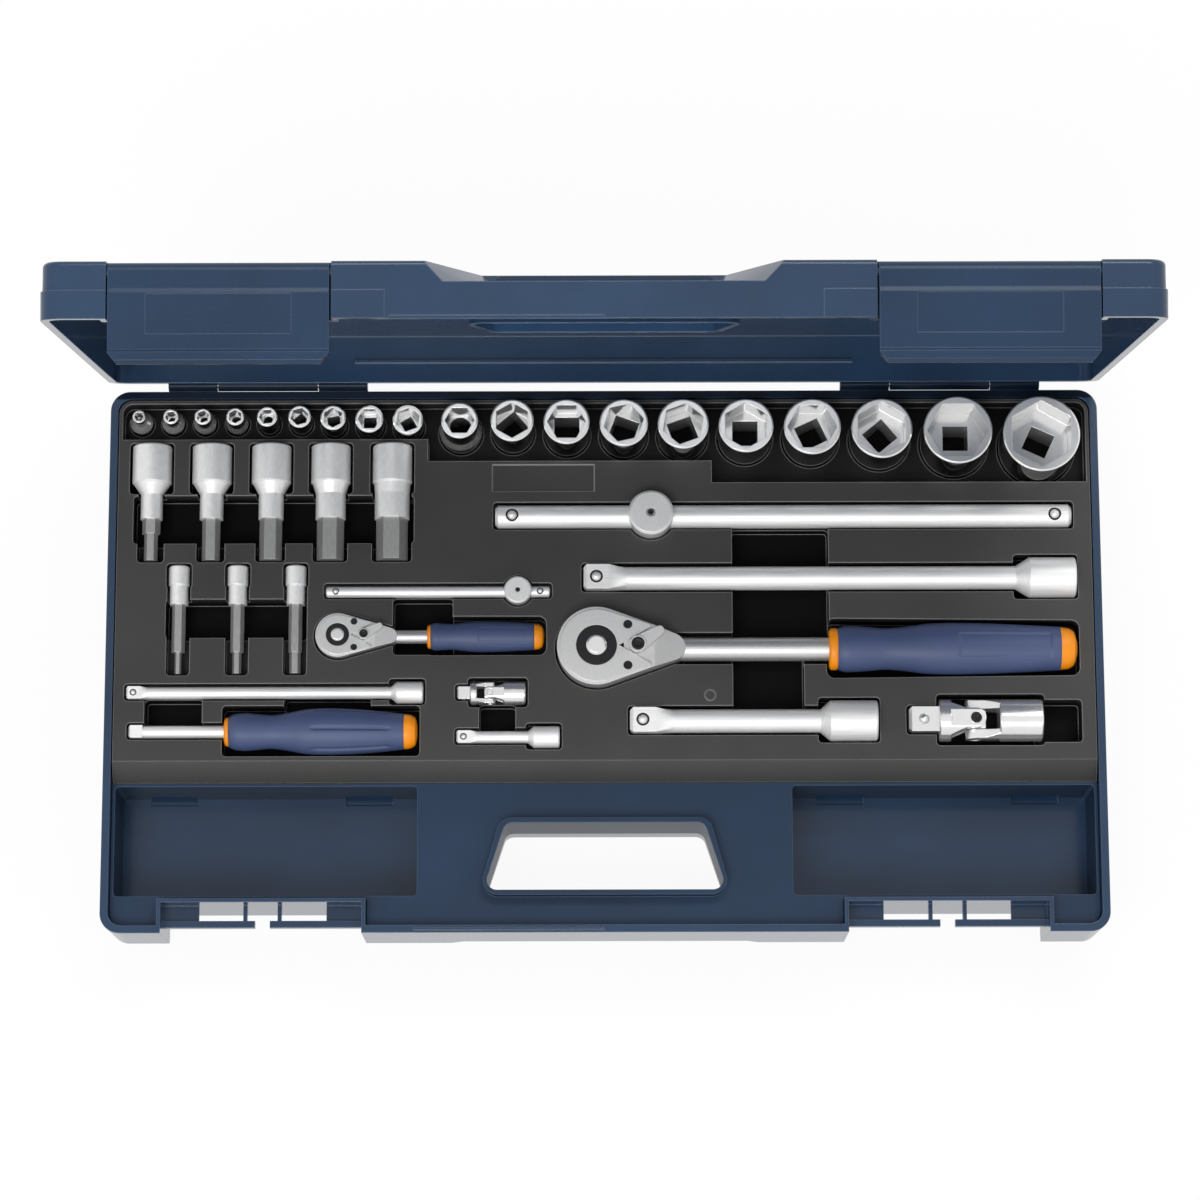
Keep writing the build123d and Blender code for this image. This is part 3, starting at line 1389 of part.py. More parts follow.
def draw_well(kind, place, grown):
    """Draw one well's outline in the open sketch, grown outwards by a wall."""
    if kind == "round":
        x, y, radius = place
        with Locations((x, y)):
            Circle(radius + grown)
    elif kind == "teardrop":
        x, y, radius, end_x, end_radius = place
        lean = (radius - end_radius) / (end_x - x)
        rise = sqrt(1 - lean**2)
        start_x, start_y = x + (radius + grown) * lean, (radius + grown) * rise
        stop_x, stop_y = end_x + (end_radius + grown) * lean, (end_radius + grown) * rise
        with Locations((x, y)):
            Circle(radius + grown)
        with Locations((end_x, y)):
            Circle(end_radius + grown)
        Polygon(
            (start_x, y - start_y),
            (stop_x, y - stop_y),
            (stop_x, y + stop_y),
            (start_x, y + start_y),
            align=None,
        )
    elif kind == "tapered":
        low, high, y, start_half, end_half = place
        corners = (
            (low - grown, y - start_half - grown),
            (high + grown, y - end_half - grown),
            (high + grown, y + end_half + grown),
            (low - grown, y + start_half + grown),
        )
        add(rounded(corners, 2 * pocket_round + grown))
    else:
        x, y, width, depth = place
        with Locations((x, y)):
            RectangleRounded(width + 2 * grown, depth + 2 * grown, pocket_round + grown)


def draw_channel(sketch, grown):
    """Draw the stepped socket channel with rounded corners, its back corners following the case's own."""
    Polygon(
        (-channel_end - grown, channel_back + grown),
        (-channel_end - grown, channel_edge_left - grown),
        (channel_step_left - grown, channel_edge_left - grown),
        (channel_step_left - grown, channel_edge_middle - grown),
        (channel_step_right - grown, channel_edge_middle - grown),
        (channel_step_right - grown, channel_edge_right - grown),
        (channel_end + grown, channel_edge_right - grown),
        (channel_end + grown, channel_back + grown),
        align=None,
    )
    back_corners = sketch.vertices().group_by(Axis.Y)[-1]
    other_corners = sketch.vertices().group_by(Axis.Y)[:-1]
    fillet(back_corners, case_corner - case_wall - channel_margin + grown)
    fillet([corner for row in other_corners for corner in row], channel_round)


floors = sorted({round(floor, 3) for kind, place, floor in wells}, reverse=True)
with BuildPart() as tray_insert:
    with BuildSketch(Plane.XY.offset(floor_thickness)) as tray_outline:
        with Locations((0, (tray_front + tray_back) / 2)):
            Rectangle(2 * tray_half_width, tray_back - tray_front)
        fillet(tray_outline.vertices().group_by(Axis.Y)[-1], case_corner - case_wall)
    extrude(amount=tray_top - floor_thickness)
    front_edge = tray_insert.edges().filter_by(Axis.X).group_by(Axis.Z)[-1].sort_by(Axis.Y)[0]
    chamfer(front_edge, tray_top - deck_height, tray_bevel_length)
    # Hollow underside
    hollow_depth = tray_back - tray_front - tray_bevel_length - 2 * tray_skin
    with BuildSketch(Plane.XY.offset(floor_thickness)):
        with Locations((0, (tray_front + tray_bevel_length + tray_back) / 2)):
            Rectangle(2 * (tray_half_width - tray_skin), hollow_depth)
    extrude(amount=tray_top - floor_thickness - tray_skin, mode=Mode.SUBTRACT)
    with BuildSketch(Plane.XY.offset(floor_thickness)):
        with Locations((0, tray_front + tray_bevel_length / 2 + tray_skin)):
            Rectangle(2 * (tray_half_width - tray_skin), tray_bevel_length + tray_skin)
    extrude(amount=deck_height - floor_thickness - tray_skin, mode=Mode.SUBTRACT)
    # Skins of the channel and the wells
    with BuildSketch(Plane.XY.offset(channel_floor - tray_skin)) as channel_skin:
        draw_channel(channel_skin, tray_skin)
    extrude(amount=tray_top - tray_skin / 2 - channel_floor + tray_skin)
    for level in floors:
        with BuildSketch(Plane.XY.offset(level - tray_skin)):
            for kind, place, floor in wells:
                if round(floor, 3) == level:
                    draw_well(kind, place, tray_skin)
        extrude(amount=tray_top - tray_skin / 2 - level + tray_skin)
    # The channel and the wells themselves
    with BuildSketch(Plane.XY.offset(channel_floor)) as channel:
        draw_channel(channel, 0)
    extrude(amount=tray_top, mode=Mode.SUBTRACT)
    for level in floors:
        with BuildSketch(Plane.XY.offset(level)):
            for kind, place, floor in wells:
                if round(floor, 3) == level:
                    draw_well(kind, place, 0)
        extrude(amount=tray_top, mode=Mode.SUBTRACT)
    # Plain recessed panel
    with BuildSketch(Plane.XY.offset(tray_top - badge_depth)):
        with Locations((badge_x, badge_y)):
            Rectangle(badge_width, badge_height)
    extrude(amount=badge_depth, mode=Mode.SUBTRACT)
keep(tray_insert.part, "tray_insert")
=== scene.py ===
import logging
import math
from dataclasses import dataclass, field
from enum import Enum
from typing import Optional, Protocol, Sequence, Union

import bpy
import numpy as np
from mathutils import Euler, Matrix, Vector


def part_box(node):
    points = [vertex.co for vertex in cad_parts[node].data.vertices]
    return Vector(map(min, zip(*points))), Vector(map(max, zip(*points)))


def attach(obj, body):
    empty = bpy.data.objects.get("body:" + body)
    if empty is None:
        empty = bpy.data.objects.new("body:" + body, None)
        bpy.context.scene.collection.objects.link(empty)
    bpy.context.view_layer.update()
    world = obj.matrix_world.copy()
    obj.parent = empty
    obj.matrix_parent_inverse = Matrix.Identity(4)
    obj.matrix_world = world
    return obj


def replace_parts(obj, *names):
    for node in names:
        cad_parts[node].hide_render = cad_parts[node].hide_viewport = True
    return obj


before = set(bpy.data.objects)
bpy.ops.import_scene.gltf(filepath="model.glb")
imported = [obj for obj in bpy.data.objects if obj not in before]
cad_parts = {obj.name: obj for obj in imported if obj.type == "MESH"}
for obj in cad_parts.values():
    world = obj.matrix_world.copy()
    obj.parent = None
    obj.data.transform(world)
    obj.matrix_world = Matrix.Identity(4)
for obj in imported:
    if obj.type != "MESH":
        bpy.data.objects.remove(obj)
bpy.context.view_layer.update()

log = logging.getLogger("socket_set")
MM = 0.001
Colour = tuple[float, float, float]
Place = tuple[float, float, float]
Stations = list[tuple[float, float]]
Socket = bpy.types.NodeSocket
Number = Union[Socket, float]
Tint = Union[Socket, Colour]

# Most of a noise pattern's values lie between these two.
PATTERN_LOW, PATTERN_HIGH = 0.3, 0.7
# Points around a small turned piece.
SMALL_COLUMNS = 48
# A turned piece starts at this share of its radius, so that no face is pinched on the axis.
AXIS_SHARE = 0.02


class Direction(Enum):
    """A direction of the shared frame, by its place in a coordinate triple."""

    ALONG_CASE = 0
    TO_HINGES = 1
    UP = 2


class Grain(Enum):
    """How the texture of a moulded plastic is laid, as its gloss range beside the mean gloss."""

    FINE_SPARK = (0.9, 1.15)
    SOFT_MATT = (0.95, 1.05)
    POLISHED = (0.8, 1.2)


def shaded(colour: Colour, share: float) -> Colour:
    """A colour made lighter or darker by a factor."""
    return tuple(share * c for c in colour)


class Graph:
    """One material's node tree around a Principled shader.

    Attributes:
        COLOUR_INPUTS: places of a Mix node's two colours among its inputs.
        COLOUR_OUTPUT: place of the mixed colour among its outputs.
        NUMBER_INPUTS: places of its two numbers among its inputs.
        BEVEL_SAMPLES: rays that round an edge.
        EDGE_DOT: agreement of rounded and flat direction along an edge, and on a face.
    """

    COLOUR_INPUTS = (6, 7)
    COLOUR_OUTPUT = 2
    NUMBER_INPUTS = (2, 3)
    BEVEL_SAMPLES = 6
    EDGE_DOT = (0.75, 0.999)

    def __init__(self, name: str) -> None:
        """Make an empty material with its shader and output.

        Args:
            name: the material's name.
        """
        self.material = bpy.data.materials.new(name)
        self.material.use_nodes = True
        self.tree = self.material.node_tree
        self.tree.nodes.clear()
        self.output = self.tree.nodes.new("ShaderNodeOutputMaterial")
        self.shader = self.tree.nodes.new("ShaderNodeBsdfPrincipled")
        self.tree.links.new(self.shader.outputs["BSDF"], self.output.inputs["Surface"])
        self.place = self.tree.nodes.new("ShaderNodeTexCoord").outputs["Object"]

    def node(self, kind: str, **settings: object) -> bpy.types.Node:
        """Add a node and set its own properties.

        Args:
            kind: Blender's type name of the node.
            settings: properties of the node.

        Returns:
            The new node.
        """
        made = self.tree.nodes.new(kind)
        for key, value in settings.items():
            setattr(made, key, value)
        return made

    def feed(self, target: Socket, source: object) -> None:
        """Link a socket to a source, or set it where the source is a plain value.

        Args:
            target: the socket that takes the value.
            source: a socket, number or colour.
        """
        if isinstance(source, bpy.types.NodeSocket):
            self.tree.links.new(source, target)
        else:
            target.default_value = source

    def maths(self, operation: str, first: Number, second: Number) -> Socket:
        """Combine two numbers.

        Args:
            operation: Blender's name of the operation.
            first: a socket or number.
            second: a socket or number.

        Returns:
            The result's socket.
        """
        made = self.node("ShaderNodeMath", operation=operation)
        self.feed(made.inputs[0], first)
        self.feed(made.inputs[1], second)
        return made.outputs[0]

    def split(self, vector: Socket, direction: Direction) -> Socket:
        """One coordinate of a vector.

        Args:
            vector: the vector's socket.
            direction: which coordinate.

        Returns:
            The coordinate's socket.
        """
        made = self.node("ShaderNodeSeparateXYZ")
        self.feed(made.inputs[0], vector)
        return made.outputs[direction.value]

    def axis(self, direction: Direction) -> Socket:
        """One coordinate of the place on the object, in metres."""
        return self.split(self.place, direction)

    def facing(self, direction: Direction) -> Socket:
        """How far the flat surface looks along a direction, from -1 to 1."""
        return self.split(self.flat_normal(), direction)

    def flat_normal(self) -> Socket:
        """The direction of the flat surface."""
        return self.node("ShaderNodeNewGeometry").outputs["True Normal"]

    def noise(self, size: float, detail: float, stretch: Sequence[float] = (1, 1, 1)) -> Socket:
        """A noise pattern.

        Args:
            size: size of a speck, in metres.
            detail: how many finer layers it has.
            stretch: factor on the pattern's frequency along each direction.

        Returns:
            The pattern's value, from 0 to 1.
        """
        scaled = self.node("ShaderNodeMapping")
        self.feed(scaled.inputs["Vector"], self.place)
        scaled.inputs["Scale"].default_value = tuple(stretch)
        made = self.node("ShaderNodeTexNoise")
        self.feed(made.inputs["Vector"], scaled.outputs[0])
        made.inputs["Scale"].default_value = 1.0 / size
        made.inputs["Detail"].default_value = detail
        return made.outputs["Fac"]

    def spread(
        self, value: Number, low: float, high: float, start: float = 0.0, end: float = 1.0
    ) -> Socket:
        """Carry a value from one range into another, clamped at its ends.

        Args:
            value: the value.
            low: result at the start of its range.
            high: result at the end of its range.
            start: start of its range.
            end: end of its range.

        Returns:
            The result's socket.
        """
        made = self.node("ShaderNodeMapRange", clamp=True)
        self.feed(made.inputs["Value"], value)
        made.inputs["From Min"].default_value = start
        made.inputs["From Max"].default_value = end
        made.inputs["To Min"].default_value = low
        made.inputs["To Max"].default_value = high
        return made.outputs["Result"]

    def contrast(self, pattern: Socket, low: float = 0.0, high: float = 1.0) -> Socket:
        """Carry a noise pattern from the range that it fills into another."""
        return self.spread(pattern, low, high, PATTERN_LOW, PATTERN_HIGH)

    def mixed(self, share: Number, first: Tint, second: Tint) -> Socket:
        """Mix two colours.

        Args:
            share: share of the second, from 0 to 1.
            first: a socket or colour.
            second: a socket or colour.

        Returns:
            The mixed colour.
        """
        made = self.node("ShaderNodeMix", data_type="RGBA")
        self.feed(made.inputs["Factor"], share)
        for place, tint in zip(self.COLOUR_INPUTS, (first, second)):
            plain = not isinstance(tint, bpy.types.NodeSocket)
            self.feed(made.inputs[place], (*tint, 1.0) if plain else tint)
        return made.outputs[self.COLOUR_OUTPUT]

    def blended(self, share: Number, first: Number, second: Number) -> Socket:
        """Mix two numbers.

        Args:
            share: share of the second, from 0 to 1.
            first: a socket or number.
            second: a socket or number.

        Returns:
            The mixed number.
        """
        made = self.node("ShaderNodeMix", data_type="FLOAT")
        self.feed(made.inputs["Factor"], share)
        for place, number in zip(self.NUMBER_INPUTS, (first, second)):
            self.feed(made.inputs[place], number)
        return made.outputs[0]

    def rounded_normal(self, radius: float) -> Socket:
        """The surface direction with its sharp edges rounded over a radius."""
        made = self.node("ShaderNodeBevel", samples=self.BEVEL_SAMPLES)
        made.inputs["Radius"].default_value = radius
        return made.outputs["Normal"]

    def edge_share(self, rounded: Socket) -> Socket:
        """How far the rounded direction leaves the flat one.

        Args:
            rounded: the rounded direction.

        Returns:
            0 on a face, up to 1 along an edge.
        """
        dot = self.node("ShaderNodeVectorMath", operation="DOT_PRODUCT")
        self.feed(dot.inputs[0], rounded)
        self.feed(dot.inputs[1], self.flat_normal())
        return self.spread(dot.outputs["Value"], 1.0, 0.0, *self.EDGE_DOT)

    def bump(self, height: Socket, depth: float, normal: Socket) -> Socket:
        """Bend the surface direction by a height pattern.

        Args:
            height: the pattern, from 0 to 1.
            depth: its height, in metres.
            normal: the direction to start from.

        Returns:
            The bent direction.
        """
        made = self.node("ShaderNodeBump")
        made.inputs["Strength"].default_value = 1.0
        made.inputs["Distance"].default_value = depth
        self.feed(made.inputs["Height"], height)
        self.feed(made.inputs["Normal"], normal)
        return made.outputs["Normal"]

    def set(self, **values: object) -> None:
        """Set or link the shader's own sockets, named with underscores for spaces."""
        for key, value in values.items():
            self.feed(self.shader.inputs[key.replace("_", " ")], value)


class Finish(Protocol):
    """A finish that can make its own material."""

    name: str

    def build(self) -> bpy.types.Material:
        """Make the material."""


@dataclass(frozen=True)
class MouldedPlastic:
    """Injection-moulded plastic: a grained skin, slightly uneven in colour, with a painted
    highlight along its edges.

    Attributes:
        name: the material's name.
        colour: base colour, linear.
        edge_highlight_colour: colour of the painted highlight along the radiused edges, linear.
        roughness: gloss of the skin.
        grain: how the texture is laid.
        grain_size: size of a grain, in metres.
        grain_depth: depth of a grain, in metres.
        edge_radius: radius of the moulded edges, in metres.
        edge_highlight_weight: how strongly the painted edge highlight shows.
        sheen: strength of the skin's own reflection, 0.5 being plain plastic.
        cloud_size: size of the slow clouds in its colour, in metres.
        dark_share: brightness of the darkest cloud beside the base colour.
        light_share: brightness of the lightest cloud beside the base colour.
        speck_share: how much of a grain takes the lightest colour.
    """

    name: str
    colour: Colour
    edge_highlight_colour: Colour
    roughness: float
    grain: Grain = Grain.FINE_SPARK
    grain_size: float = 0.0006
    grain_depth: float = 0.00003
    edge_radius: float = 0.0007
    edge_highlight_weight: float = 0.6
    sheen: float = 0.5
    cloud_size: float = 0.06
    dark_share: float = 0.82
    light_share: float = 1.16
    speck_share: float = 0.35

    def skin(self, graph: Graph, speck: Socket) -> Socket:
        """Lay the colour of the skin: slow clouds and the grain's own specks.

        Args:
            graph: the material's tree.
            speck: the grain pattern.

        Returns:
            The colour.
        """
        cloud = graph.contrast(graph.noise(self.cloud_size, 3.0))
        lighter = shaded(self.colour, self.light_share)
        clouded = graph.mixed(cloud, shaded(self.colour, self.dark_share), lighter)
        specks = graph.spread(speck, 0.0, self.speck_share, 0.35, PATTERN_HIGH)
        return graph.mixed(specks, clouded, lighter)

    def edge_highlight_strength(self, graph: Graph) -> Number:
        """How strongly the painted edge highlight shows: the same everywhere."""
        return self.edge_highlight_weight

    def build(self) -> bpy.types.Material:
        """Make the material.

        Returns:
            The material, with colour, gloss and texture from its nodes.
        """
        graph = Graph(self.name)
        graph.set(Specular_IOR_Level=self.sheen)
        speck = graph.noise(self.grain_size, 1.0)
        rounded = graph.rounded_normal(self.edge_radius)
        # Painted highlight: edges are mixed towards a paler colour for the light that their radius
        # catches.
        edge = graph.maths("MULTIPLY", graph.edge_share(rounded), self.edge_highlight_strength(graph))
        graph.set(Base_Color=graph.mixed(edge, self.skin(graph, speck), self.edge_highlight_colour))
        low, high = self.grain.value
        gloss = graph.contrast(speck, low * self.roughness, high * self.roughness)
        graph.set(Roughness=gloss, Normal=graph.bump(speck, self.grain_depth, rounded))
        return graph.material


@dataclass(frozen=True)
class HingedPlastic(MouldedPlastic):
    """Case plastic with painted shade on the back rim and the hinge knuckles, which shade each
    other.

    Attributes:
        shade_from: place towards the hinges where the shade starts, in millimetres.
        shade_low: lowest height of the shade, in millimetres.
        shade_high: highest height of the shade, in millimetres.
        shade_share: brightness of the painted shade.
        shade_sheen: strength of the reflection left there, lowered as a painted dark reflection.
    """

    shade_from: float = 135.5
    shade_low: float = 49.2
    shade_high: float = 53.4
    shade_share: float = 0.3
    shade_sheen: float = 0.1

    def shade(self, graph: Graph) -> Socket:
        """Whether a place takes the painted shade.

        Args:
            graph: the material's tree.

        Returns:
            1 in the shade and 0 elsewhere.
        """
        height = graph.axis(Direction.UP)
        back = graph.axis(Direction.TO_HINGES)
        behind = graph.maths("GREATER_THAN", back, self.shade_from * MM)
        above = graph.maths("GREATER_THAN", height, self.shade_low * MM)
        below = graph.maths("LESS_THAN", height, self.shade_high * MM)
        return graph.maths("MULTIPLY", behind, graph.maths("MULTIPLY", above, below))

    def edge_highlight_strength(self, graph: Graph) -> Number:
        """How strongly the painted edge highlight shows: weaker in the painted shade."""
        weak = self.shade_share * self.edge_highlight_weight
        return graph.spread(self.shade(graph), self.edge_highlight_weight, weak)

    def skin(self, graph: Graph, speck: Socket) -> Socket:
        """Lay the plastic's colour and darken it with painted shade, weakening its reflection
        there too.

        Args:
            graph: the material's tree.
            speck: the grain pattern.

        Returns:
            The colour.
        """
        plain = super().skin(graph, speck)
        # Painted shade: darker colour and less reflection on the back rim and knuckles.
        shade = self.shade(graph)
        graph.set(Specular_IOR_Level=graph.spread(shade, self.sheen, self.shade_sheen))
        return graph.mixed(shade, plain, shaded(self.colour, self.shade_share))


@dataclass(frozen=True)
class FormedSheet(MouldedPlastic):
    """Vacuum-formed sheet with painted shade: darker and less glossy the deeper it lies below its
    flat top, where pockets and recesses stand in shade.

    Attributes:
        top: height of the flat top, in millimetres.
        depth: depth below it at which the sheet is darkest, in millimetres.
        deep_shade_share: brightness of the painted shade there.
        deep_shade_sheen: strength of the reflection left there, lowered with the painted shade.
    """

    top: float = 48.4
    depth: float = 12.0
    deep_shade_share: float = 0.1
    deep_shade_sheen: float = 0.06

    def skin(self, graph: Graph, speck: Socket) -> Socket:
        """Lay the sheet's colour and darken it with painted shade by the depth below the flat top.

        Args:
            graph: the material's tree.
            speck: the grain pattern.

        Returns:
            The colour.
        """
        plain = super().skin(graph, speck)
        low, high = (self.top - self.depth) * MM, self.top * MM
        # Painted shade: 0 at the deepest, 1 on the flat top; colour and reflection darken towards
        # the deep end.
        height = graph.spread(graph.axis(Direction.UP), 0.0, 1.0, low, high)
        graph.set(Specular_IOR_Level=graph.spread(height, self.deep_shade_sheen, self.sheen))
        return graph.mixed(height, shaded(self.colour, self.deep_shade_share), plain)


@dataclass(frozen=True)
class SatinChrome:
    """Satin chrome plate: a fine blast or polish grain in a metal that mirrors softly.

    Attributes:
        name: the material's name.
        colour: colour of the metal, linear.
        roughness: how blurred its mirror is.
        stretch: how the polish runs, as a factor on the pattern along each direction.
        edge_radius: radius of the broken edges, in metres.
        grain_depth: depth of the polish marks, in metres.
        mirror: share of the light that is mirrored; a blasted surface scatters the rest.
        evenness: brightness of the darkest polish mark beside the brightest.
        polish_size: size of a change in the polish, in metres.
        cloud_size: size of a slow change in the gloss, in metres.
        mark_size: size of a polish mark, in metres.
        gloss_range: least and most blur, beside the mean.
    """

    name: str
    colour: Colour
    roughness: float
    stretch: tuple[float, float, float] = (1.0, 1.0, 1.0)
    edge_radius: float = 0.0004
    grain_depth: float = 0.000006
    mirror: float = 1.0
    evenness: float = 0.9
    polish_size: float = 0.0009
    cloud_size: float = 0.012
    mark_size: float = 0.0007
    gloss_range: tuple[float, float] = (0.85, 1.2)

    def skin(self, graph: Graph) -> tuple[Socket, Socket]:
        """Lay the metal's colour and gloss.

        Args:
            graph: the material's tree.

        Returns:
            The colour and the roughness.
        """
        polish = graph.noise(self.polish_size, 3.0, self.stretch)
        cloud = graph.noise(self.cloud_size, 2.0)
        shade = shaded(self.colour, self.evenness)
        colour = graph.mixed(graph.contrast(polish), shade, self.colour)
        uneven = graph.maths("ADD", graph.spread(polish, 0.0, 0.5), graph.spread(cloud, 0.0, 0.5))
        low, high = self.gloss_range
        return colour, graph.contrast(uneven, low * self.roughness, high * self.roughness)

    def build(self) -> bpy.types.Material:
        """Make the material.

        Returns:
            The material, with colour, gloss and polish marks from its nodes.
        """
        graph = Graph(self.name)
        colour, roughness = self.skin(graph)
        graph.set(Base_Color=colour, Roughness=roughness, Metallic=self.mirror)
        marks = graph.noise(self.mark_size, 2.0, self.stretch)
        rounded = graph.rounded_normal(self.edge_radius)
        graph.set(Normal=graph.bump(marks, self.grain_depth, rounded))
        return graph.material


@dataclass(frozen=True)
class BitSteel(SatinChrome):
    """Satin chrome on a socket's body, and phosphated grey steel on the bit beyond a given place.

    Attributes:
        bit_colour: colour of the bit, linear.
        bit_roughness: gloss of the bit.
        boundary: place towards the hinges where the bit starts, in millimetres.
        grind_size: width of a grinding mark, in metres.
        grind_stretch: how the grinding marks run, as stretch does.
        grind_range: darkest and lightest mark beside the bit's colour.
    """

    bit_colour: Colour = (0.40, 0.40, 0.395)
    bit_roughness: float = 0.36
    boundary: float = 0.0
    grind_size: float = 0.0005
    grind_stretch: tuple[float, float, float] = (1.0, 0.12, 1.0)
    grind_range: tuple[float, float] = (0.7, 1.25)

    def build(self) -> bpy.types.Material:
        """Make the material, with a sharp change of finish at the boundary.

        Returns:
            The material.
        """
        graph = Graph(self.name)
        colour, roughness = self.skin(graph)
        back = graph.axis(Direction.TO_HINGES)
        on_bit = graph.maths("LESS_THAN", back, self.boundary * MM)
        grind = graph.noise(self.grind_size, 2.0, self.grind_stretch)
        dark, light = (shaded(self.bit_colour, share) for share in self.grind_range)
        bit = graph.mixed(grind, dark, light)
        graph.set(Base_Color=graph.mixed(on_bit, colour, bit), Metallic=self.mirror)
        graph.set(Roughness=graph.blended(on_bit, roughness, self.bit_roughness))
        rounded = graph.rounded_normal(self.edge_radius)
        graph.set(Normal=graph.bump(grind, self.grain_depth, rounded))
        return graph.material


@dataclass(frozen=True)
class SocketChrome(SatinChrome):
    """Polished chrome around a socket, and a satin finish on its rim and in its broached mouth.

    Attributes:
        x: place of the socket's axis along the case, in millimetres.
        y: its place towards the hinges.
        mouth: corner radius of the hexagon, in millimetres.
        mouth_roughness: how blurred the mirror is in the mouth.
        mouth_mirror: share of the light that is mirrored there.
        rim_facing: how far a face looks up where the satin starts, and where it is full.
    """

    x: float = 0.0
    y: float = 0.0
    mouth: float = 0.0
    mouth_roughness: float = 0.14
    mouth_mirror: float = 0.72
    rim_facing: tuple[float, float] = (0.15, 0.4)

    def build(self) -> bpy.types.Material:
        """Make the material: satin within the mouth and on faces that look up, else polished.

        Returns:
            The material.
        """
        graph = Graph(self.name)
        colour, roughness = self.skin(graph)
        along = graph.maths("SUBTRACT", graph.axis(Direction.ALONG_CASE), self.x * MM)
        across = graph.maths("SUBTRACT", graph.axis(Direction.TO_HINGES), self.y * MM)
        squares = [graph.maths("POWER", offset, 2.0) for offset in (along, across)]
        inside = graph.maths("LESS_THAN", graph.maths("ADD", *squares), (self.mouth * MM) ** 2)
        rim = graph.spread(graph.facing(Direction.UP), 0.0, 1.0, *self.rim_facing)
        satin = graph.maths("MAXIMUM", inside, rim)
        graph.set(Base_Color=colour, Metallic=graph.spread(satin, self.mirror, self.mouth_mirror))
        graph.set(Roughness=graph.blended(satin, roughness, self.mouth_roughness))
        graph.set(Normal=graph.rounded_normal(self.edge_radius))
        return graph.material


@dataclass(frozen=True)
class BlackSteel:
    """Black-oxide steel: dark and nearly matt, with fine turning marks.

    Attributes:
        name: the material's name.
        colour: darkest colour, linear.
        roughness: mean gloss.
        sheen: strength of its reflection.
        speck_size: size of a mark, in metres.
        light_share: brightness of the lightest mark beside the darkest.
        grain_depth: depth of a mark, in metres.
        edge_radius: radius of the broken edges, in metres.
    """

    name: str
    colour: Colour = (0.008, 0.008, 0.009)
    roughness: float = 0.5
    sheen: float = 0.3
    speck_size: float = 0.0004
    light_share: float = 2.2
    grain_depth: float = 0.00001
    edge_radius: float = 0.0003

    def build(self) -> bpy.types.Material:
        """Make the material.

        Returns:
            The material.
        """
        graph = Graph(self.name)
        speck = graph.noise(self.speck_size, 2.0)
        lighter = shaded(self.colour, self.light_share)
        marks = graph.spread(speck, 0.0, 1.0, 0.35, 0.75)
        gloss = graph.spread(speck, 0.8 * self.roughness, 1.3 * self.roughness)
        graph.set(Base_Color=graph.mixed(marks, self.colour, lighter), Roughness=gloss)
        graph.set(Specular_IOR_Level=self.sheen)
        rounded = graph.rounded_normal(self.edge_radius)
        graph.set(Normal=graph.bump(speck, self.grain_depth, rounded))
        return graph.material


# The second colour of each plastic is its painted edge highlight.
NAVY_EDGE_HIGHLIGHT = (0.12, 0.18, 0.30)
BRIGHT_METAL = (0.97, 0.97, 0.965)
NAVY = HingedPlastic(
    "navy_case_plastic",
    (0.016, 0.041, 0.089),
    NAVY_EDGE_HIGHLIGHT,
    0.17,
    grain_depth=0.000004,
    edge_highlight_weight=0.8,
    sheen=0.45,
)
NAVY_SATIN = MouldedPlastic(
    "navy_deck_plastic",
    (0.0115, 0.030, 0.066),
    NAVY_EDGE_HIGHLIGHT,
    0.42,
    grain_depth=0.00002,
    edge_highlight_weight=0.8,
    sheen=0.25,
)
NAVY_GLOSS = MouldedPlastic(
    "navy_latch_plastic",
    (0.0145, 0.035, 0.074),
    (0.10, 0.15, 0.25),
    0.3,
    grain_depth=0.00002,
    edge_highlight_weight=0.8,
    sheen=0.25,
)
TRAY = FormedSheet(
    "grey_tray_plastic",
    (0.043, 0.042, 0.041),
    (0.55, 0.55, 0.545),
    0.42,
    grain_size=0.0005,
    edge_radius=0.0009,
    edge_highlight_weight=0.75,
    sheen=0.36,
)
TRAY_RIDGE = MouldedPlastic("grey_tray_ridge", (0.11, 0.108, 0.104), (0.3, 0.3, 0.295), 0.42)
GRIP_NAVY = MouldedPlastic(
    "navy_grip_rubber",
    (0.056, 0.082, 0.185),
    (0.095, 0.13, 0.26),
    0.5,
    grain=Grain.SOFT_MATT,
    grain_size=0.0004,
    edge_radius=0.0005,
)
GRIP_ORANGE = MouldedPlastic(
    "orange_grip_core",
    (0.98, 0.31, 0.003),
    (1.0, 0.42, 0.02),
    0.4,
    grain=Grain.POLISHED,
    grain_depth=0.00001,
)
CHROME = SatinChrome(
    "polished_chrome", (0.90, 0.90, 0.90), 0.2, grain_depth=0.000001, mirror=0.8, evenness=0.97
)
CHROME_LONG = SatinChrome("satin_chrome_bars", BRIGHT_METAL, 0.42, (0.05, 1.0, 1.0), mirror=0.42)
CHROME_FLAT = SatinChrome("satin_chrome_ratchet", (0.68, 0.68, 0.68), 0.42, mirror=0.75)
CHROME_HEAD = SatinChrome("satin_chrome_heads", (0.88, 0.88, 0.875), 0.4, mirror=0.5)
STEEL = SatinChrome("plain_steel_pin", (0.5, 0.5, 0.51), 0.3)
HALF_BIT = BitSteel(
    "half_inch_bit_steel", BRIGHT_METAL, 0.42, (1.0, 0.3, 1.0), mirror=0.45, boundary=73.0
)
QUARTER_BIT = BitSteel(
    "quarter_inch_bit_steel", BRIGHT_METAL, 0.42, (1.0, 0.3, 1.0), mirror=0.45, boundary=28.5
)
BLACK = BlackSteel("black_oxide_steel")


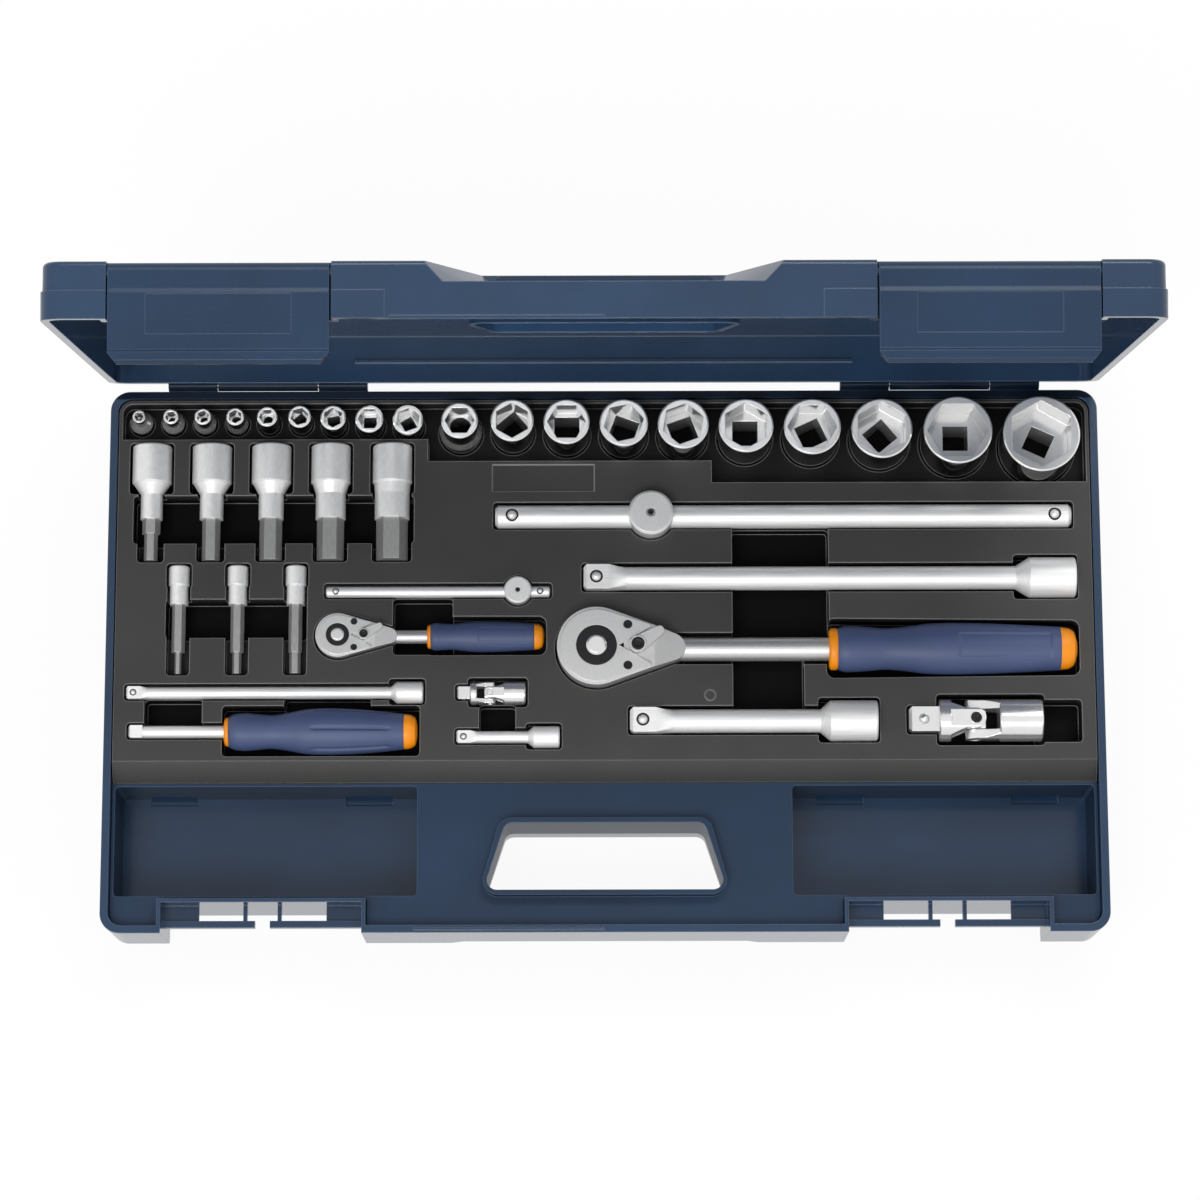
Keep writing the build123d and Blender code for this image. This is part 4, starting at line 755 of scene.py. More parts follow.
class Library:
    """The made materials, each built once."""

    def __init__(self) -> None:
        """Start with no material made."""
        self._made: dict[str, bpy.types.Material] = {}

    def get(self, finish: Finish) -> bpy.types.Material:
        """The material of a finish, made at its first use."""
        if finish.name not in self._made:
            self._made[finish.name] = finish.build()
        return self._made[finish.name]


library = Library()


@dataclass(frozen=True)
class NodeBox:
    """The box of a CAD node at rest, in millimetres.

    Attributes:
        low: lowest corner.
        high: highest corner.
    """

    low: np.ndarray
    high: np.ndarray

    @property
    def middle(self) -> np.ndarray:
        """The middle of the box."""
        return (self.low + self.high) / 2


def box_of(node: str) -> NodeBox:
    """The box of a CAD node, read from the frame."""
    low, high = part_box(node)
    return NodeBox(np.array(low) / MM, np.array(high) / MM)


# Height of the axis of every tool that lies in the tray.
TOOL_AXIS = float(box_of("extension_half_250").middle[2])


def named(*starts: str) -> list[str]:
    """CAD nodes whose names start with any of the given words."""
    return sorted(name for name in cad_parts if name.startswith(starts))


def dress(nodes: Sequence[str], finish: Finish) -> None:
    """Give CAD nodes one finish.

    Args:
        nodes: names of the nodes.
        finish: the finish they take.
    """
    for name in nodes:
        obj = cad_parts[name]
        obj.data.materials.clear()
        obj.data.materials.append(library.get(finish))
    log.info("dressed %d nodes with %s", len(nodes), finish.name)


def angles(columns: int) -> np.ndarray:
    """Even angles once around, without the last that meets the first."""
    return np.linspace(0, 2 * np.pi, columns, endpoint=False)


def ring_faces(rows: int, columns: int) -> np.ndarray:
    """Quads between the points of a grid whose second parameter closes on itself.

    Args:
        rows: points along the first parameter.
        columns: points around.

    Returns:
        Face corners, one face a row.
    """
    i, j = np.meshgrid(np.arange(rows - 1), np.arange(columns), indexing="ij")
    k = (j + 1) % columns
    near, far = i * columns, (i + 1) * columns
    return np.stack([near + j, near + k, far + k, far + j], axis=-1).reshape(-1, 4)


def mesh_piece(
    name: str, points: np.ndarray, faces: np.ndarray, finish: Finish, body: str
) -> bpy.types.Object:
    """Put computed points and faces into an object that rides on a body.

    Args:
        name: the piece's name.
        points: corner places in millimetres, one a row.
        faces: face corners, one face a row.
        finish: the finish of the piece.
        body: the body that carries it.

    Returns:
        The new object.
    """
    mesh = bpy.data.meshes.new(name)
    mesh.from_pydata((points * MM).tolist(), [], faces.tolist())
    mesh.materials.append(library.get(finish))
    mesh.polygons.foreach_set("use_smooth", np.full(len(mesh.polygons), True))
    mesh.validate()
    mesh.update()
    obj = bpy.data.objects.new(name, mesh)
    bpy.context.scene.collection.objects.link(obj)
    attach(obj, body)
    log.info("piece %s: %d faces on %s", name, len(mesh.polygons), body)
    return obj


def smooth_line(places: Stations, x: np.ndarray) -> np.ndarray:
    """A smooth curve: cubic runs whose slope at a station is the mean slope to its neighbours.

    Args:
        places: stations as pairs of place and value, in order.
        x: places to read.

    Returns:
        The curve's values at x.
    """
    xs, ys = np.asarray(places, float).T
    slopes = np.gradient(ys, xs)
    k = np.clip(np.searchsorted(xs, x) - 1, 0, len(xs) - 2)
    run = xs[k + 1] - xs[k]
    t = np.clip((x - xs[k]) / run, 0.0, 1.0)
    return (
        ys[k] * (1 + 2 * t) * (1 - t) ** 2
        + slopes[k] * run * t * (1 - t) ** 2
        + ys[k + 1] * t * t * (3 - 2 * t)
        - slopes[k + 1] * run * t * t * (1 - t)
    )


def soft_step(value: np.ndarray, start: float, end: float) -> np.ndarray:
    """A smooth step from 0 at start to 1 at end."""
    t = np.clip((value - start) / (end - start), 0.0, 1.0)
    return t * t * (3 - 2 * t)


def soft_stretch(x: np.ndarray, left: float, right: float, edge: float) -> np.ndarray:
    """1 between two places and 0 beyond, with a smooth step of the given width inside each end."""
    return soft_step(x, left, left + edge) - soft_step(x, right - edge, right)


def turned_surface(
    x: np.ndarray, radius: np.ndarray, y: float, angle: np.ndarray
) -> np.ndarray:
    """Points of a surface turned about a tool's axis: at place x the circle of the given radius.

    Args:
        x: places along the axis, in millimetres.
        radius: radius by place and angle.
        y: place of the axis.
        angle: angles around it, from the top.

    Returns:
        Points in millimetres, one a row, place by place.
    """
    across = y + radius * np.sin(angle)[None, :]
    up = TOOL_AXIS + radius * np.cos(angle)[None, :]
    along = np.broadcast_to(x[:, None], across.shape)
    return np.stack([along, across, up], axis=-1).reshape(-1, 3)


def turned_disc(place: Sequence[float], radii: np.ndarray, heights: np.ndarray) -> np.ndarray:
    """Points of a surface turned about an upright axis: at each radius a circle at its own height.

    Args:
        place: foot of the axis, in millimetres.
        radii: radius of each circle.
        heights: height above the foot, by circle, or by circle and angle.

    Returns:
        Points in millimetres, one a row, circle by circle.
    """
    angle = angles(heights.shape[1] if heights.ndim == 2 else SMALL_COLUMNS)
    across = radii[:, None] * np.stack([np.sin(angle), np.cos(angle)])[:, None, :]
    up = np.broadcast_to(heights if heights.ndim == 2 else heights[:, None], across.shape[1:])
    return (np.asarray(place) + np.stack([*across, up], axis=-1)).reshape(-1, 3)


@dataclass
class SoftGrip:
    """A two-part grip: an orange core that shows as collar and domed cap, and a navy sleeve.

    Attributes:
        tool: name of the tool it belongs to, which is also the body it rides on.
        sleeve: stations of the sleeve, as distance from the grip's left end and diameter.
        collar: stations of the collar.
        cap: stations of the cap.
        panel: left, right and half width of the plain recessed panel, or None.
        panel_depth: depth of that recess.
        flutes: number of grooves along the sleeve, or 0.
        flute_span: left and right end of the grooves.
        flute_depth: depth of a groove.
        SLIM: height of the grip beside its width.
        PANEL_EDGE: width of the slope around the panel.
        PANEL_ABOVE: least cosine of the angle from the top at which the panel is cut.
        FLUTE_EDGE: length over which a groove runs out.
        FLUTE_POWER: how narrow a groove is beside the land between two.
        BORE: radius of the hole in the sleeve's ends beside its outer radius.
        END_BREAKS: radius at the edge of the left and right end beside the outer radius.
        EDGE_BREAKS: length of the broken edge at the left and right end.
        DISH: how far the end faces lie inside the ends.
    """

    SLIM = 0.94
    PANEL_EDGE = 0.5
    PANEL_ABOVE = 0.2
    FLUTE_EDGE = 6.0
    FLUTE_POWER = 8
    BORE = 0.62
    END_BREAKS = (0.97, 0.985)
    EDGE_BREAKS = (0.35, 0.25)
    DISH = 0.05

    tool: str
    sleeve: Stations
    collar: Stations
    cap: Stations
    panel: Optional[tuple[float, float, float]] = None
    panel_depth: float = 0.55
    flutes: int = 0
    flute_span: tuple[float, float] = (0.0, 0.0)
    flute_depth: float = 0.9

    @property
    def node(self) -> str:
        """The CAD node that the grip stands for."""
        return f"{self.tool}_grip"

    def radius(self, stations: Stations, x: np.ndarray, angle: np.ndarray) -> np.ndarray:
        """Radius of a turned stretch, a little flatter from above than across.

        Args:
            stations: place and diameter pairs.
            x: places along the axis.
            angle: angles from the top.

        Returns:
            Radius by place and angle.
        """
        half = smooth_line(stations, x) / 2
        flat = self.SLIM + (1 - self.SLIM) * np.abs(np.sin(angle)) ** 1.5
        return half[:, None] * flat[None, :]

    def piece(
        self, part: str, x: np.ndarray, radius: np.ndarray, angle: np.ndarray, finish: Finish
    ) -> bpy.types.Object:
        """Turn a piece of the grip about the tool's axis, which the CAD node gives.

        Args:
            part: what it is called.
            x: places from the grip's left end.
            radius: radius by place and angle.
            angle: angles from the top.
            finish: its finish.

        Returns:
            The piece.
        """
        box = box_of(self.node)
        points = turned_surface(float(box.low[0]) + x, radius, float(box.middle[1]), angle)
        faces = ring_faces(len(x), len(angle))[:, ::-1]
        name = f"{self.tool}_grip_{part}"
        return mesh_piece(name, points, faces, finish, self.tool)

    def build_sleeve(self) -> bpy.types.Object:
        """Make the sleeve: its stations' smooth line, less the panel's recess and the grooves.

        Returns:
            The sleeve.
        """
        x = np.linspace(self.sleeve[0][0], self.sleeve[-1][0], 260)
        angle = angles(180)
        radius = self.radius(self.sleeve, x, angle)
        if self.panel is not None:
            left, right, half = self.panel
            across = np.abs(radius * np.sin(angle)[None, :])
            above = np.cos(angle)[None, :] > self.PANEL_ABOVE
            along = soft_stretch(x, left, right, self.PANEL_EDGE)[:, None]
            inside = soft_step(-across, -half, -half + self.PANEL_EDGE) * along * above
            radius = radius - self.panel_depth * inside
        if self.flutes:
            ends = soft_stretch(x, *self.flute_span, self.FLUTE_EDGE)[:, None]
            groove = np.clip(np.cos(self.flutes * angle), 0, 1) ** self.FLUTE_POWER
            radius = radius - self.flute_depth * ends * groove[None, :]
        left, right = x[0], x[-1]
        body = np.clip(x, left + self.EDGE_BREAKS[0], right - self.EDGE_BREAKS[1])
        xs = np.concatenate([[left + self.DISH, left], body, [right, right - self.DISH]])
        start = np.stack([radius[0] * self.BORE, radius[0] * self.END_BREAKS[0]])
        end = np.stack([radius[-1] * self.END_BREAKS[1], radius[-1] * self.BORE])
        return self.piece("sleeve", xs, np.concatenate([start, radius, end]), angle, GRIP_NAVY)

    def build_core(self, part: str, stations: Stations) -> bpy.types.Object:
        """Make a turned piece of the core that shows, closed at both ends on the axis.

        Args:
            part: what it is called.
            stations: place and diameter pairs.

        Returns:
            The piece.
        """
        x = np.linspace(stations[0][0], stations[-1][0], 48)
        angle = angles(120)
        radius = self.radius(stations, x, angle)
        xs = np.concatenate([[x[0]], x, [x[-1]]])
        closed = np.concatenate([radius[:1] * AXIS_SHARE, radius, radius[-1:] * AXIS_SHARE])
        return self.piece(part, xs, closed, angle, GRIP_ORANGE)

    def build(self) -> None:
        """Make sleeve, collar and cap, which stand for the CAD grip."""
        dress([self.node], GRIP_NAVY)
        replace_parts(self.build_sleeve(), self.node)
        self.build_core("collar", self.collar)
        self.build_core("cap", self.cap)


@dataclass
class CoverScrew:
    """A black screw in a ratchet's cover: a shallow dome with a six-lobed recess.

    Attributes:
        name: the piece's name.
        body: the body it rides on.
        place: middle of its foot, in millimetres.
        radius: radius of the head.
        DRAWN: radius for which the heights below are drawn; others are scaled.
        BASE: height of the head's edge.
        DOME: rise of its middle above the edge.
        RECESS: depth of the recess.
        LOBES: number of lobes.
        LOBE: mean radius of the recess beside the head's.
        WAVE: how far a lobe leaves that radius, as a share of it.
        WALL: where the recess's wall starts and ends, beside its edge.
        FOOT: height of the lowest ring.
    """

    DRAWN = 2.2
    BASE = 0.3
    DOME = 0.12
    RECESS = 0.3
    LOBES = 6
    LOBE = 0.46
    WAVE = 0.16
    WALL = (0.9, 1.04)
    FOOT = 0.005

    name: str
    body: str
    place: Place
    radius: float

    def build(self) -> bpy.types.Object:
        """Make the head: over radius and angle, a low dome less a recess that waves around.

        Returns:
            The screw head.
        """
        share = np.linspace(AXIS_SHARE, 1.0, 28)
        angle = angles(72)
        dome = self.DOME * (1 - share**4)[:, None]
        lobe = self.LOBE * (1 + self.WAVE * np.cos(self.LOBES * angle))[None, :]
        recess = self.RECESS * (1 - soft_step(share[:, None] / lobe, *self.WALL))
        height = (self.BASE + dome - recess) * self.radius / self.DRAWN
        heights = np.concatenate([height, np.full((1, len(angle)), self.FOOT)])
        radii = np.append(share, 1.0) * self.radius
        points = turned_disc(self.place, radii, heights)
        faces = ring_faces(len(radii), len(angle))
        return mesh_piece(self.name, points, faces, BLACK, self.body)


@dataclass
class BallGapShade:
    """Painted shade for the gap around a spring ball in a drive square or a sliding bar: a black
    ring on the surface.

    Attributes:
        node: the CAD node that holds the ball, which is also the body it rides on.
        from_left: distance of the ball from the node's left end.
        ball: diameter of the ball.
        rise: height of the surface around it above the tool's axis.
        bar: radius of a round bar, or None on a flat face.
        GAP: inner and outer radius beside the ball's diameter.
        LIFT: height of the ring above the surface.
    """

    GAP = (0.48, 0.66)
    LIFT = 0.02

    node: str
    from_left: float
    ball: float
    rise: float
    bar: Optional[float] = None

    def build(self) -> bpy.types.Object:
        """Make the ring: between two radii, flat or bent over the bar, which falls away across.

        Returns:
            The ring.
        """
        box = box_of(self.node)
        radii = self.ball * np.linspace(*self.GAP, 4)
        across = radii[:, None] * np.cos(angles(SMALL_COLUMNS))[None, :]
        fall = np.zeros_like(across)
        if self.bar is not None:
            fall = self.bar - np.sqrt(self.bar**2 - across**2)
        height = TOOL_AXIS + self.rise + self.LIFT
        place = (box.low[0] + self.from_left, box.middle[1], height)
        name = f"{self.node}_ball_gap_shade_{self.from_left:.0f}"
        points = turned_disc(place, radii, -fall)
        faces = ring_faces(len(radii), SMALL_COLUMNS)
        # Painted shade: a black ring in the black steel finish stands for the dark gap.
        return mesh_piece(name, points, faces, BLACK, self.node)


@dataclass
class PinEnd:
    """The end of a dark pin: a dished face inside a raised rim.

    Attributes:
        name: the piece's name.
        body: the body it rides on.
        place: middle of its foot, in millimetres.
        radius: radius of the pin.
        FLOOR: height of the dish's floor beside the radius.
        RISE: rise from there to the rim.
        FALL: fall from the rim to the edge.
        DISH_WALL: start and end of the rise beside the radius.
        RIM_WALL: start and end of the fall.
    """

    FLOOR = 0.04
    RISE = 0.12
    FALL = 0.1
    DISH_WALL = (0.35, 0.7)
    RIM_WALL = (0.86, 1.0)

    name: str
    body: str
    place: Place
    radius: float

    def build(self) -> bpy.types.Object:
        """Make the end: over the radius a dish, then a rounded rim that falls to the foot.

        Returns:
            The pin's end.
        """
        share = np.linspace(AXIS_SHARE, 1.0, 24)
        dish = self.RISE * soft_step(share, *self.DISH_WALL)
        rim = self.FALL * soft_step(share, *self.RIM_WALL)
        heights = (self.FLOOR + dish - rim) * self.radius
        points = turned_disc(self.place, share * self.radius, heights)
        faces = ring_faces(len(share), SMALL_COLUMNS)
        return mesh_piece(self.name, points, faces, BLACK, self.body)


@dataclass
class FormingMark:
    """A small ring left in the tray's top by the forming tool.

    Attributes:
        x: place along the case.
        y: place towards the hinges.
        radius: radius of the ring.
        width: width of its ridge.
        height: height of its ridge.
        LIFT: height of its foot above the tray.
    """

    LIFT = 0.005

    x: float = 53.4
    y: float = -18.9
    radius: float = 2.7
    width: float = 1.1
    height: float = 0.22

    def build(self) -> bpy.types.Object:
        """Make the ridge: across its width an arch, turned about the ring's middle.

        Returns:
            The ring.
        """
        across = np.linspace(-1, 1, 9)
        place = (self.x, self.y, box_of("tray_insert").high[2] + self.LIFT)
        radii = self.radius + across * self.width / 2
        points = turned_disc(place, radii, self.height * (1 - across**2))
        faces = ring_faces(len(across), SMALL_COLUMNS)
        name = "tray_forming_mark"
        return mesh_piece(name, points, faces, TRAY_RIDGE, "case")


@dataclass
class Case:
    """The case: two shells, deck, latches, hinge pins and the tray.

    Attributes:
        mark: the ring that the forming tool left in the tray.
    """

    mark: FormingMark = field(default_factory=FormingMark)

    def build(self) -> None:
        """Finish the case and make the tray's mark."""
        dress(["case_base", "case_lid"], NAVY)
        dress(["storage_deck"], NAVY_SATIN)
        dress(["latch_left", "latch_right"], NAVY_GLOSS)
        dress(["lid_hinge_pins"], STEEL)
        dress(["tray_insert"], TRAY)
        self.mark.build()


@dataclass
class Ratchet:
    """A ratchet with its grip, cover screws and reversing lever.

    Attributes:
        grip: the grip, which names the tool.
        screw_ahead: distance of the screws from the drive's axis, along the tool.
        screw_aside: distance of the screws from the tool's middle line.
        screw_radius: radius of a screw head.
        boss: radius of the lever's boss.
        SCREW_LIFT: height of a screw's foot above the cover.
        PIN_LIFT: height of the pin's foot above the lever.
        PIN_SHARE: radius of the lever's pin beside the boss.
    """

    SCREW_LIFT = 0.02
    PIN_LIFT = 0.01
    PIN_SHARE = 0.78

    grip: SoftGrip
    screw_ahead: float
    screw_aside: float
    screw_radius: float
    boss: float

    def build_screws(self) -> None:
        """Make the two screw heads, before and behind the tool's middle line."""
        tool = self.grip.tool
        axis = box_of(f"{tool}_drive").middle
        cover = box_of(f"{tool}_body").high[2] + self.SCREW_LIFT
        for side, word in ((-1, "front"), (1, "back")):
            place = (axis[0] + self.screw_ahead, axis[1] + side * self.screw_aside, cover)
            CoverScrew(f"{tool}_screw_{word}", tool, place, self.screw_radius).build()

    def build_pin(self) -> None:
        """Make the end of the lever's pin, in the middle of its boss."""
        node = f"{self.grip.tool}_lever"
        low, high = box_of(node).low, box_of(node).high
        place = (low[0] + self.boss, low[1] + self.boss, high[2] + self.PIN_LIFT)
        PinEnd(f"{node}_pin", node, place, self.PIN_SHARE * self.boss).build()

    def build(self) -> None:
        """Finish the ratchet and make its small pieces."""
        tool = self.grip.tool
        dress([f"{tool}_body", f"{tool}_lever"], CHROME_FLAT)
        dress([f"{tool}_button"], CHROME)
        dress([f"{tool}_drive"], BLACK)
        self.grip.build()
        self.build_screws()
        self.build_pin()


@dataclass
class SlidingBar:
    """A T-bar with its sliding head.

    Attributes:
        tool: its name.
        pin: radius of the pin in the head.
        bar: radius of the bar.
        ball: diameter of the balls.
        balls: distances of the balls from the bar's left end.
        PIN_LIFT: height of the pin's foot above the head.
    """

    PIN_LIFT = 0.02

    tool: str
    pin: float
    bar: float
    ball: float
    balls: tuple[float, float]

    def build(self) -> None:
        """Finish the bar and its head, and make the pin's end and the painted shade around the
        balls.
        """
        dress([self.tool], CHROME_LONG)
        dress([f"{self.tool}_head"], CHROME_HEAD)
        head = box_of(f"{self.tool}_head")
        place = (*head.middle[:2], head.high[2] + self.PIN_LIFT)
        PinEnd(f"{self.tool}_head_pin", self.tool, place, self.pin).build()
        for from_left in self.balls:
            BallGapShade(self.tool, from_left, self.ball, self.bar, self.bar).build()


@dataclass
class ExtensionBar:
    """An extension bar with a ball in its drive square.

    Attributes:
        tool: its name.
        square: width of the square.
        ball: diameter of the ball.
        from_left: distance of the ball from the square's end.
    """

    tool: str
    square: float
    ball: float
    from_left: float

    def build(self) -> None:
        """Finish the bar and make the painted shade around the ball."""
        dress([self.tool], CHROME_LONG)
        BallGapShade(self.tool, self.from_left, self.ball, self.square / 2).build()


@dataclass
class SocketRows:
    """The sockets and bit sockets of both drives, which stand and lie in the tray.

    Attributes:
        colour: colour of the sockets' chrome, linear.
        roughness: how blurred its mirror is.
        mouth_room: how far the satin reaches past the hexagon's corners, in millimetres.
    """

    colour: Colour = (0.95, 0.95, 0.945)
    roughness: float = 0.1
    mouth_room: float = 0.2

    def finish(self, node: str) -> SocketChrome:
        """The chrome of one socket, around its own axis.

        Args:
            node: its name, which ends in the width across its flats.

        Returns:
            The finish.
        """
        flats = float(node.split("_", 2)[2].replace("_", "."))
        x, y, _ = box_of(node).middle
        mouth = flats / math.sqrt(3) + self.mouth_room
        name = f"chrome_{node}"
        return SocketChrome(name, self.colour, self.roughness, x=x, y=y, mouth=mouth)

    def build(self) -> None:
        """Finish every socket and bit socket."""
        for node in named("socket_half", "socket_quarter"):
            dress([node], self.finish(node))
        dress(named("bit_socket_half"), HALF_BIT)
        dress(named("bit_socket_quarter"), QUARTER_BIT)


@dataclass
class UniversalJoints:
    """The two universal joints.

    Attributes:
        pin: radius of the half-inch joint's pin, whose end shows on top.
    """

    pin: float = 2.65

    def build(self) -> None:
        """Finish both joints and make the pin's end."""
        dress(named("universal_"), CHROME)
        cross = box_of("universal_half_cross")
        place = (*cross.middle[:2], cross.high[2])
        PinEnd("universal_half_pin_end", "universal_half_cross", place, self.pin).build()


@dataclass
class Spinner:
    """The spinner handle.

    Attributes:
        grip: its grip.
    """

    grip: SoftGrip

    def build(self) -> None:
        """Finish the blade and make the grip."""
        dress(["spinner_blade"], CHROME_LONG)
        self.grip.build()


HALF_GRIP = SoftGrip(
    tool="ratchet_half",
    sleeve=[
        (4.2, 21.0), (6.3, 22.6), (14.3, 23.2), (20.3, 22.4), (28.3, 21.2), (38.3, 22.6),
        (48.3, 25.4), (58.3, 26.4), (76.3, 26.0), (96.3, 24.4), (112.3, 22.8), (117.2, 22.2),
    ],
    collar=[(0.0, 18.8), (0.7, 20.8), (2.1, 21.5), (3.5, 21.4), (4.5, 20.6)],
    cap=[(116.9, 21.8), (119.8, 21.2), (122.5, 19.6), (124.5, 15.6), (125.7, 8.0)],
    panel=(65.3, 112.3, 6.4),
)
QUARTER_GRIP = SoftGrip(
    tool="ratchet_quarter",
    sleeve=[
        (1.8, 12.6), (3.0, 13.6), (7.8, 13.6), (12.8, 13.2), (17.8, 14.4), (23.8, 15.6),
        (31.8, 15.7), (43.8, 14.8), (52.3, 13.9), (54.3, 13.6),
    ],
    collar=[(0.0, 10.4), (0.4, 11.6), (1.0, 12.2), (1.6, 12.2), (2.0, 11.6)],
    cap=[(54.1, 13.4), (55.8, 13.0), (57.4, 11.8), (58.6, 9.2), (59.2, 5.0)],
    panel=(25.8, 51.3, 3.9),
    panel_depth=0.25,
)
SPINNER_GRIP = SoftGrip(
    tool="spinner",
    sleeve=[
        (2.3, 15.6), (3.9, 17.2), (9.9, 19.2), (15.9, 18.4), (23.9, 17.2), (31.9, 19.2),
        (40.9, 22.6), (46.9, 23.5), (61.9, 23.2), (76.9, 21.2), (87.9, 18.8), (90.7, 18.2),
    ],
    collar=[(0.0, 12.4), (0.5, 13.9), (1.3, 14.6), (2.1, 14.6), (2.6, 14.0)],
    cap=[(90.5, 17.8), (92.9, 17.4), (95.1, 15.8), (96.7, 12.4), (97.4, 6.6)],
    flutes=6,
    flute_span=(41.9, 85.9),
)
HALF_SQUARE, QUARTER_SQUARE = 12.7, 6.35
HALF_BALL, QUARTER_BALL = 5.0, 2.6
TOOLS = [
    SocketRows(),
    Ratchet(HALF_GRIP, screw_ahead=15.8, screw_aside=10.5, screw_radius=2.2, boss=4.25),
    Ratchet(QUARTER_GRIP, screw_ahead=8.3, screw_aside=6.6, screw_radius=1.65, boss=2.8),
    Spinner(SPINNER_GRIP),
    ExtensionBar("extension_half_250", HALF_SQUARE, HALF_BALL, from_left=6.5),
    ExtensionBar("extension_half_125", HALF_SQUARE, HALF_BALL, from_left=6.5),
    ExtensionBar("extension_quarter_150", QUARTER_SQUARE, QUARTER_BALL, from_left=3.5),
    ExtensionBar("extension_quarter_50", QUARTER_SQUARE, QUARTER_BALL, from_left=3.5),
    SlidingBar("tbar_half", pin=1.5, bar=6.0, ball=HALF_BALL, balls=(8.6, 284.9)),
    SlidingBar("tbar_quarter", pin=1.0, bar=2.9, ball=QUARTER_BALL, balls=(5.0, 108.8)),
    UniversalJoints(),
]


@dataclass(frozen=True)
class Softbox:
    """A rectangular lamp that is turned to the case.

    Attributes:
        name: its name.
        place: where it hangs, in metres.
        size: width and height, in metres.
        power: in watts.
    """

    name: str
    place: Place
    size: tuple[float, float]
    power: float


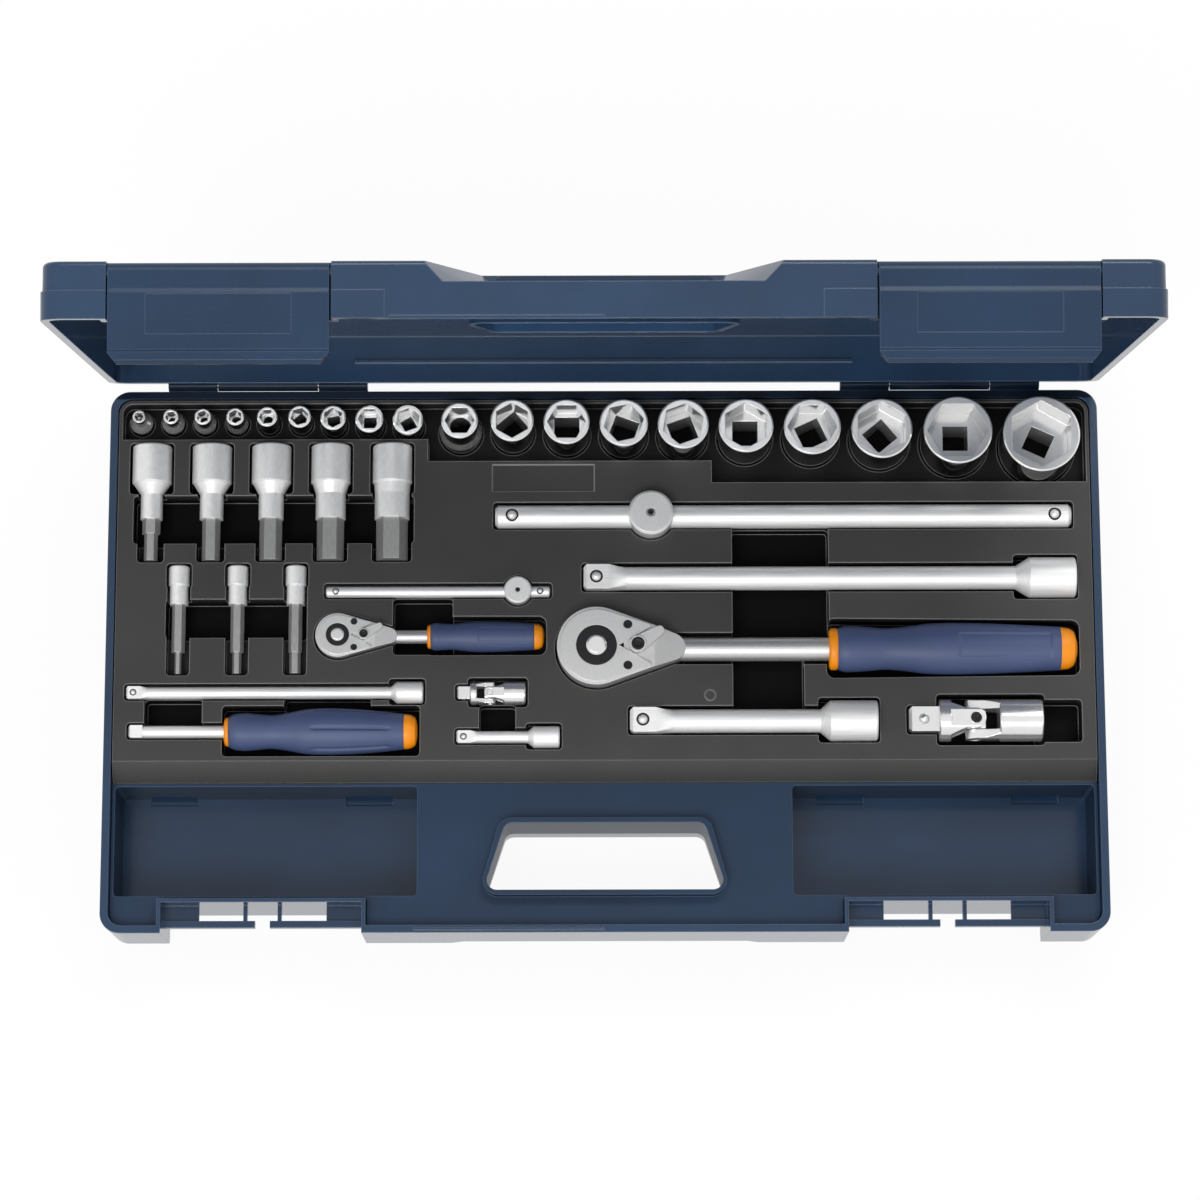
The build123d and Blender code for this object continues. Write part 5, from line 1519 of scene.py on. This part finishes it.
@dataclass
class Studio:
    """Floor, backdrop light, lamps and camera.

    Attributes:
        target: the point the camera looks at, in millimetres.
        elevation: height of the view above the horizon, in degrees.
        distance: from the camera to the target, in millimetres.
        lens: focal length, in millimetres.
        sensor: width of the sensor, in millimetres.
        roll: turn of the picture, in degrees.
        fill: strength of the surrounding light.
        floor_reach: half the floor's width, in metres.
        floor_height: height of the floor, just under the resting face, in metres.
        floor_glow: how far the floor's own white covers the shadow.
        lamps: the softboxes.
        lamp_aim: the point the softboxes look at, in metres.
    """

    target: Place = (-2.2, 29.9, 50.0)
    elevation: float = 78.0
    distance: float = 2118.0
    lens: float = 125.25
    sensor: float = 36.0
    roll: float = -0.13
    fill: float = 0.68
    floor_reach: float = 6.0
    floor_height: float = -0.0002
    floor_glow: float = 0.93
    lamps: tuple[Softbox, ...] = (
        Softbox("front_softbox", (-0.5, -1.2, 2.3), (1.6, 1.0), 32.0),
        Softbox("back_softbox", (0.4, 1.3, 2.2), (1.8, 0.8), 24.0),
    )
    lamp_aim: Place = (0.0, 0.0, 0.05)

    def build_floor(self) -> None:
        """Make the floor, white to the camera and to mirrors, with a soft trace of the shadow."""
        corners = ((-1, -1), (1, -1), (1, 1), (-1, 1))
        reach = self.floor_reach
        points = [(reach * x, reach * y, self.floor_height) for x, y in corners]
        mesh = bpy.data.meshes.new("floor")
        mesh.from_pydata(points, [], [(0, 1, 2, 3)])
        floor = bpy.data.objects.new("floor", mesh)
        bpy.context.scene.collection.objects.link(floor)
        graph = Graph("white_floor")
        graph.set(Base_Color=(0.9, 0.9, 0.9, 1.0), Roughness=0.9)
        glow = graph.node("ShaderNodeEmission")
        glow.inputs["Strength"].default_value = 1.0
        blend = graph.node("ShaderNodeMixShader")
        graph.feed(blend.inputs[0], graph.maths("MULTIPLY", self.seen(graph), self.floor_glow))
        graph.feed(blend.inputs[1], graph.shader.outputs["BSDF"])
        graph.feed(blend.inputs[2], glow.outputs[0])
        graph.feed(graph.output.inputs["Surface"], blend.outputs[0])
        mesh.materials.append(graph.material)

    @staticmethod
    def seen(graph: Graph) -> Socket:
        """Whether a ray comes from the camera, a mirror or glass.

        Args:
            graph: the material's tree.

        Returns:
            1 for such a ray and 0 for another.
        """
        path = graph.node("ShaderNodeLightPath").outputs
        both = graph.maths("MAXIMUM", path["Is Camera Ray"], path["Is Glossy Ray"])
        return graph.maths("MAXIMUM", both, path["Is Transmission Ray"])

    def build_world(self) -> None:
        """Surround the object with even light that looks white where it is seen."""
        world = bpy.data.worlds.new("studio")
        bpy.context.scene.world = world
        world.use_nodes = True
        tree = world.node_tree
        tree.nodes.clear()
        output = tree.nodes.new("ShaderNodeOutputWorld")
        light = tree.nodes.new("ShaderNodeBackground")
        path = tree.nodes.new("ShaderNodeLightPath")
        most = tree.nodes.new("ShaderNodeMath")
        most.operation = "MAXIMUM"
        tree.links.new(path.outputs["Is Camera Ray"], most.inputs[0])
        tree.links.new(path.outputs["Is Glossy Ray"], most.inputs[1])
        level = tree.nodes.new("ShaderNodeMapRange")
        level.inputs["To Min"].default_value = self.fill
        level.inputs["To Max"].default_value = 1.0
        tree.links.new(most.outputs[0], level.inputs["Value"])
        tree.links.new(level.outputs["Result"], light.inputs["Strength"])
        tree.links.new(light.outputs[0], output.inputs["Surface"])

    def build_lamps(self) -> None:
        """Hang the softboxes, each turned to the case."""
        for box in self.lamps:
            lamp = bpy.data.lights.new(box.name, "AREA")
            lamp.shape = "RECTANGLE"
            lamp.size, lamp.size_y = box.size
            lamp.energy = box.power
            holder = bpy.data.objects.new(box.name, lamp)
            holder.location = box.place
            sight = Vector(self.lamp_aim) - Vector(box.place)
            holder.rotation_euler = sight.to_track_quat("-Z", "Y").to_euler()
            bpy.context.scene.collection.objects.link(holder)

    def build_camera(self) -> None:
        """Set the camera on its line of sight to the target."""
        data = bpy.data.cameras.new("camera")
        data.lens = self.lens
        data.sensor_width = self.sensor
        data.clip_end = 100.0
        camera = bpy.data.objects.new("camera", data)
        tilt = math.radians(self.elevation)
        back = Vector((0.0, -math.cos(tilt), math.sin(tilt)))
        camera.location = (Vector(self.target) + back * self.distance) * MM
        turn = Euler((math.radians(90.0 - self.elevation), 0.0, 0.0)).to_matrix()
        roll = Matrix.Rotation(math.radians(self.roll), 3, "Z")
        camera.rotation_euler = (turn @ roll).to_euler()
        bpy.context.scene.collection.objects.link(camera)
        bpy.context.scene.camera = camera

    def build(self) -> None:
        """Make the whole stage."""
        bpy.context.scene.view_settings.view_transform = "Standard"
        self.build_floor()
        self.build_world()
        self.build_lamps()
        self.build_camera()


def main() -> None:
    """Dress the part, make its small pieces and set the stage."""
    logging.basicConfig(level=logging.INFO)
    Case().build()
    for tool in TOOLS:
        tool.build()
    Studio().build()


if __name__ == "__main__":
    main()
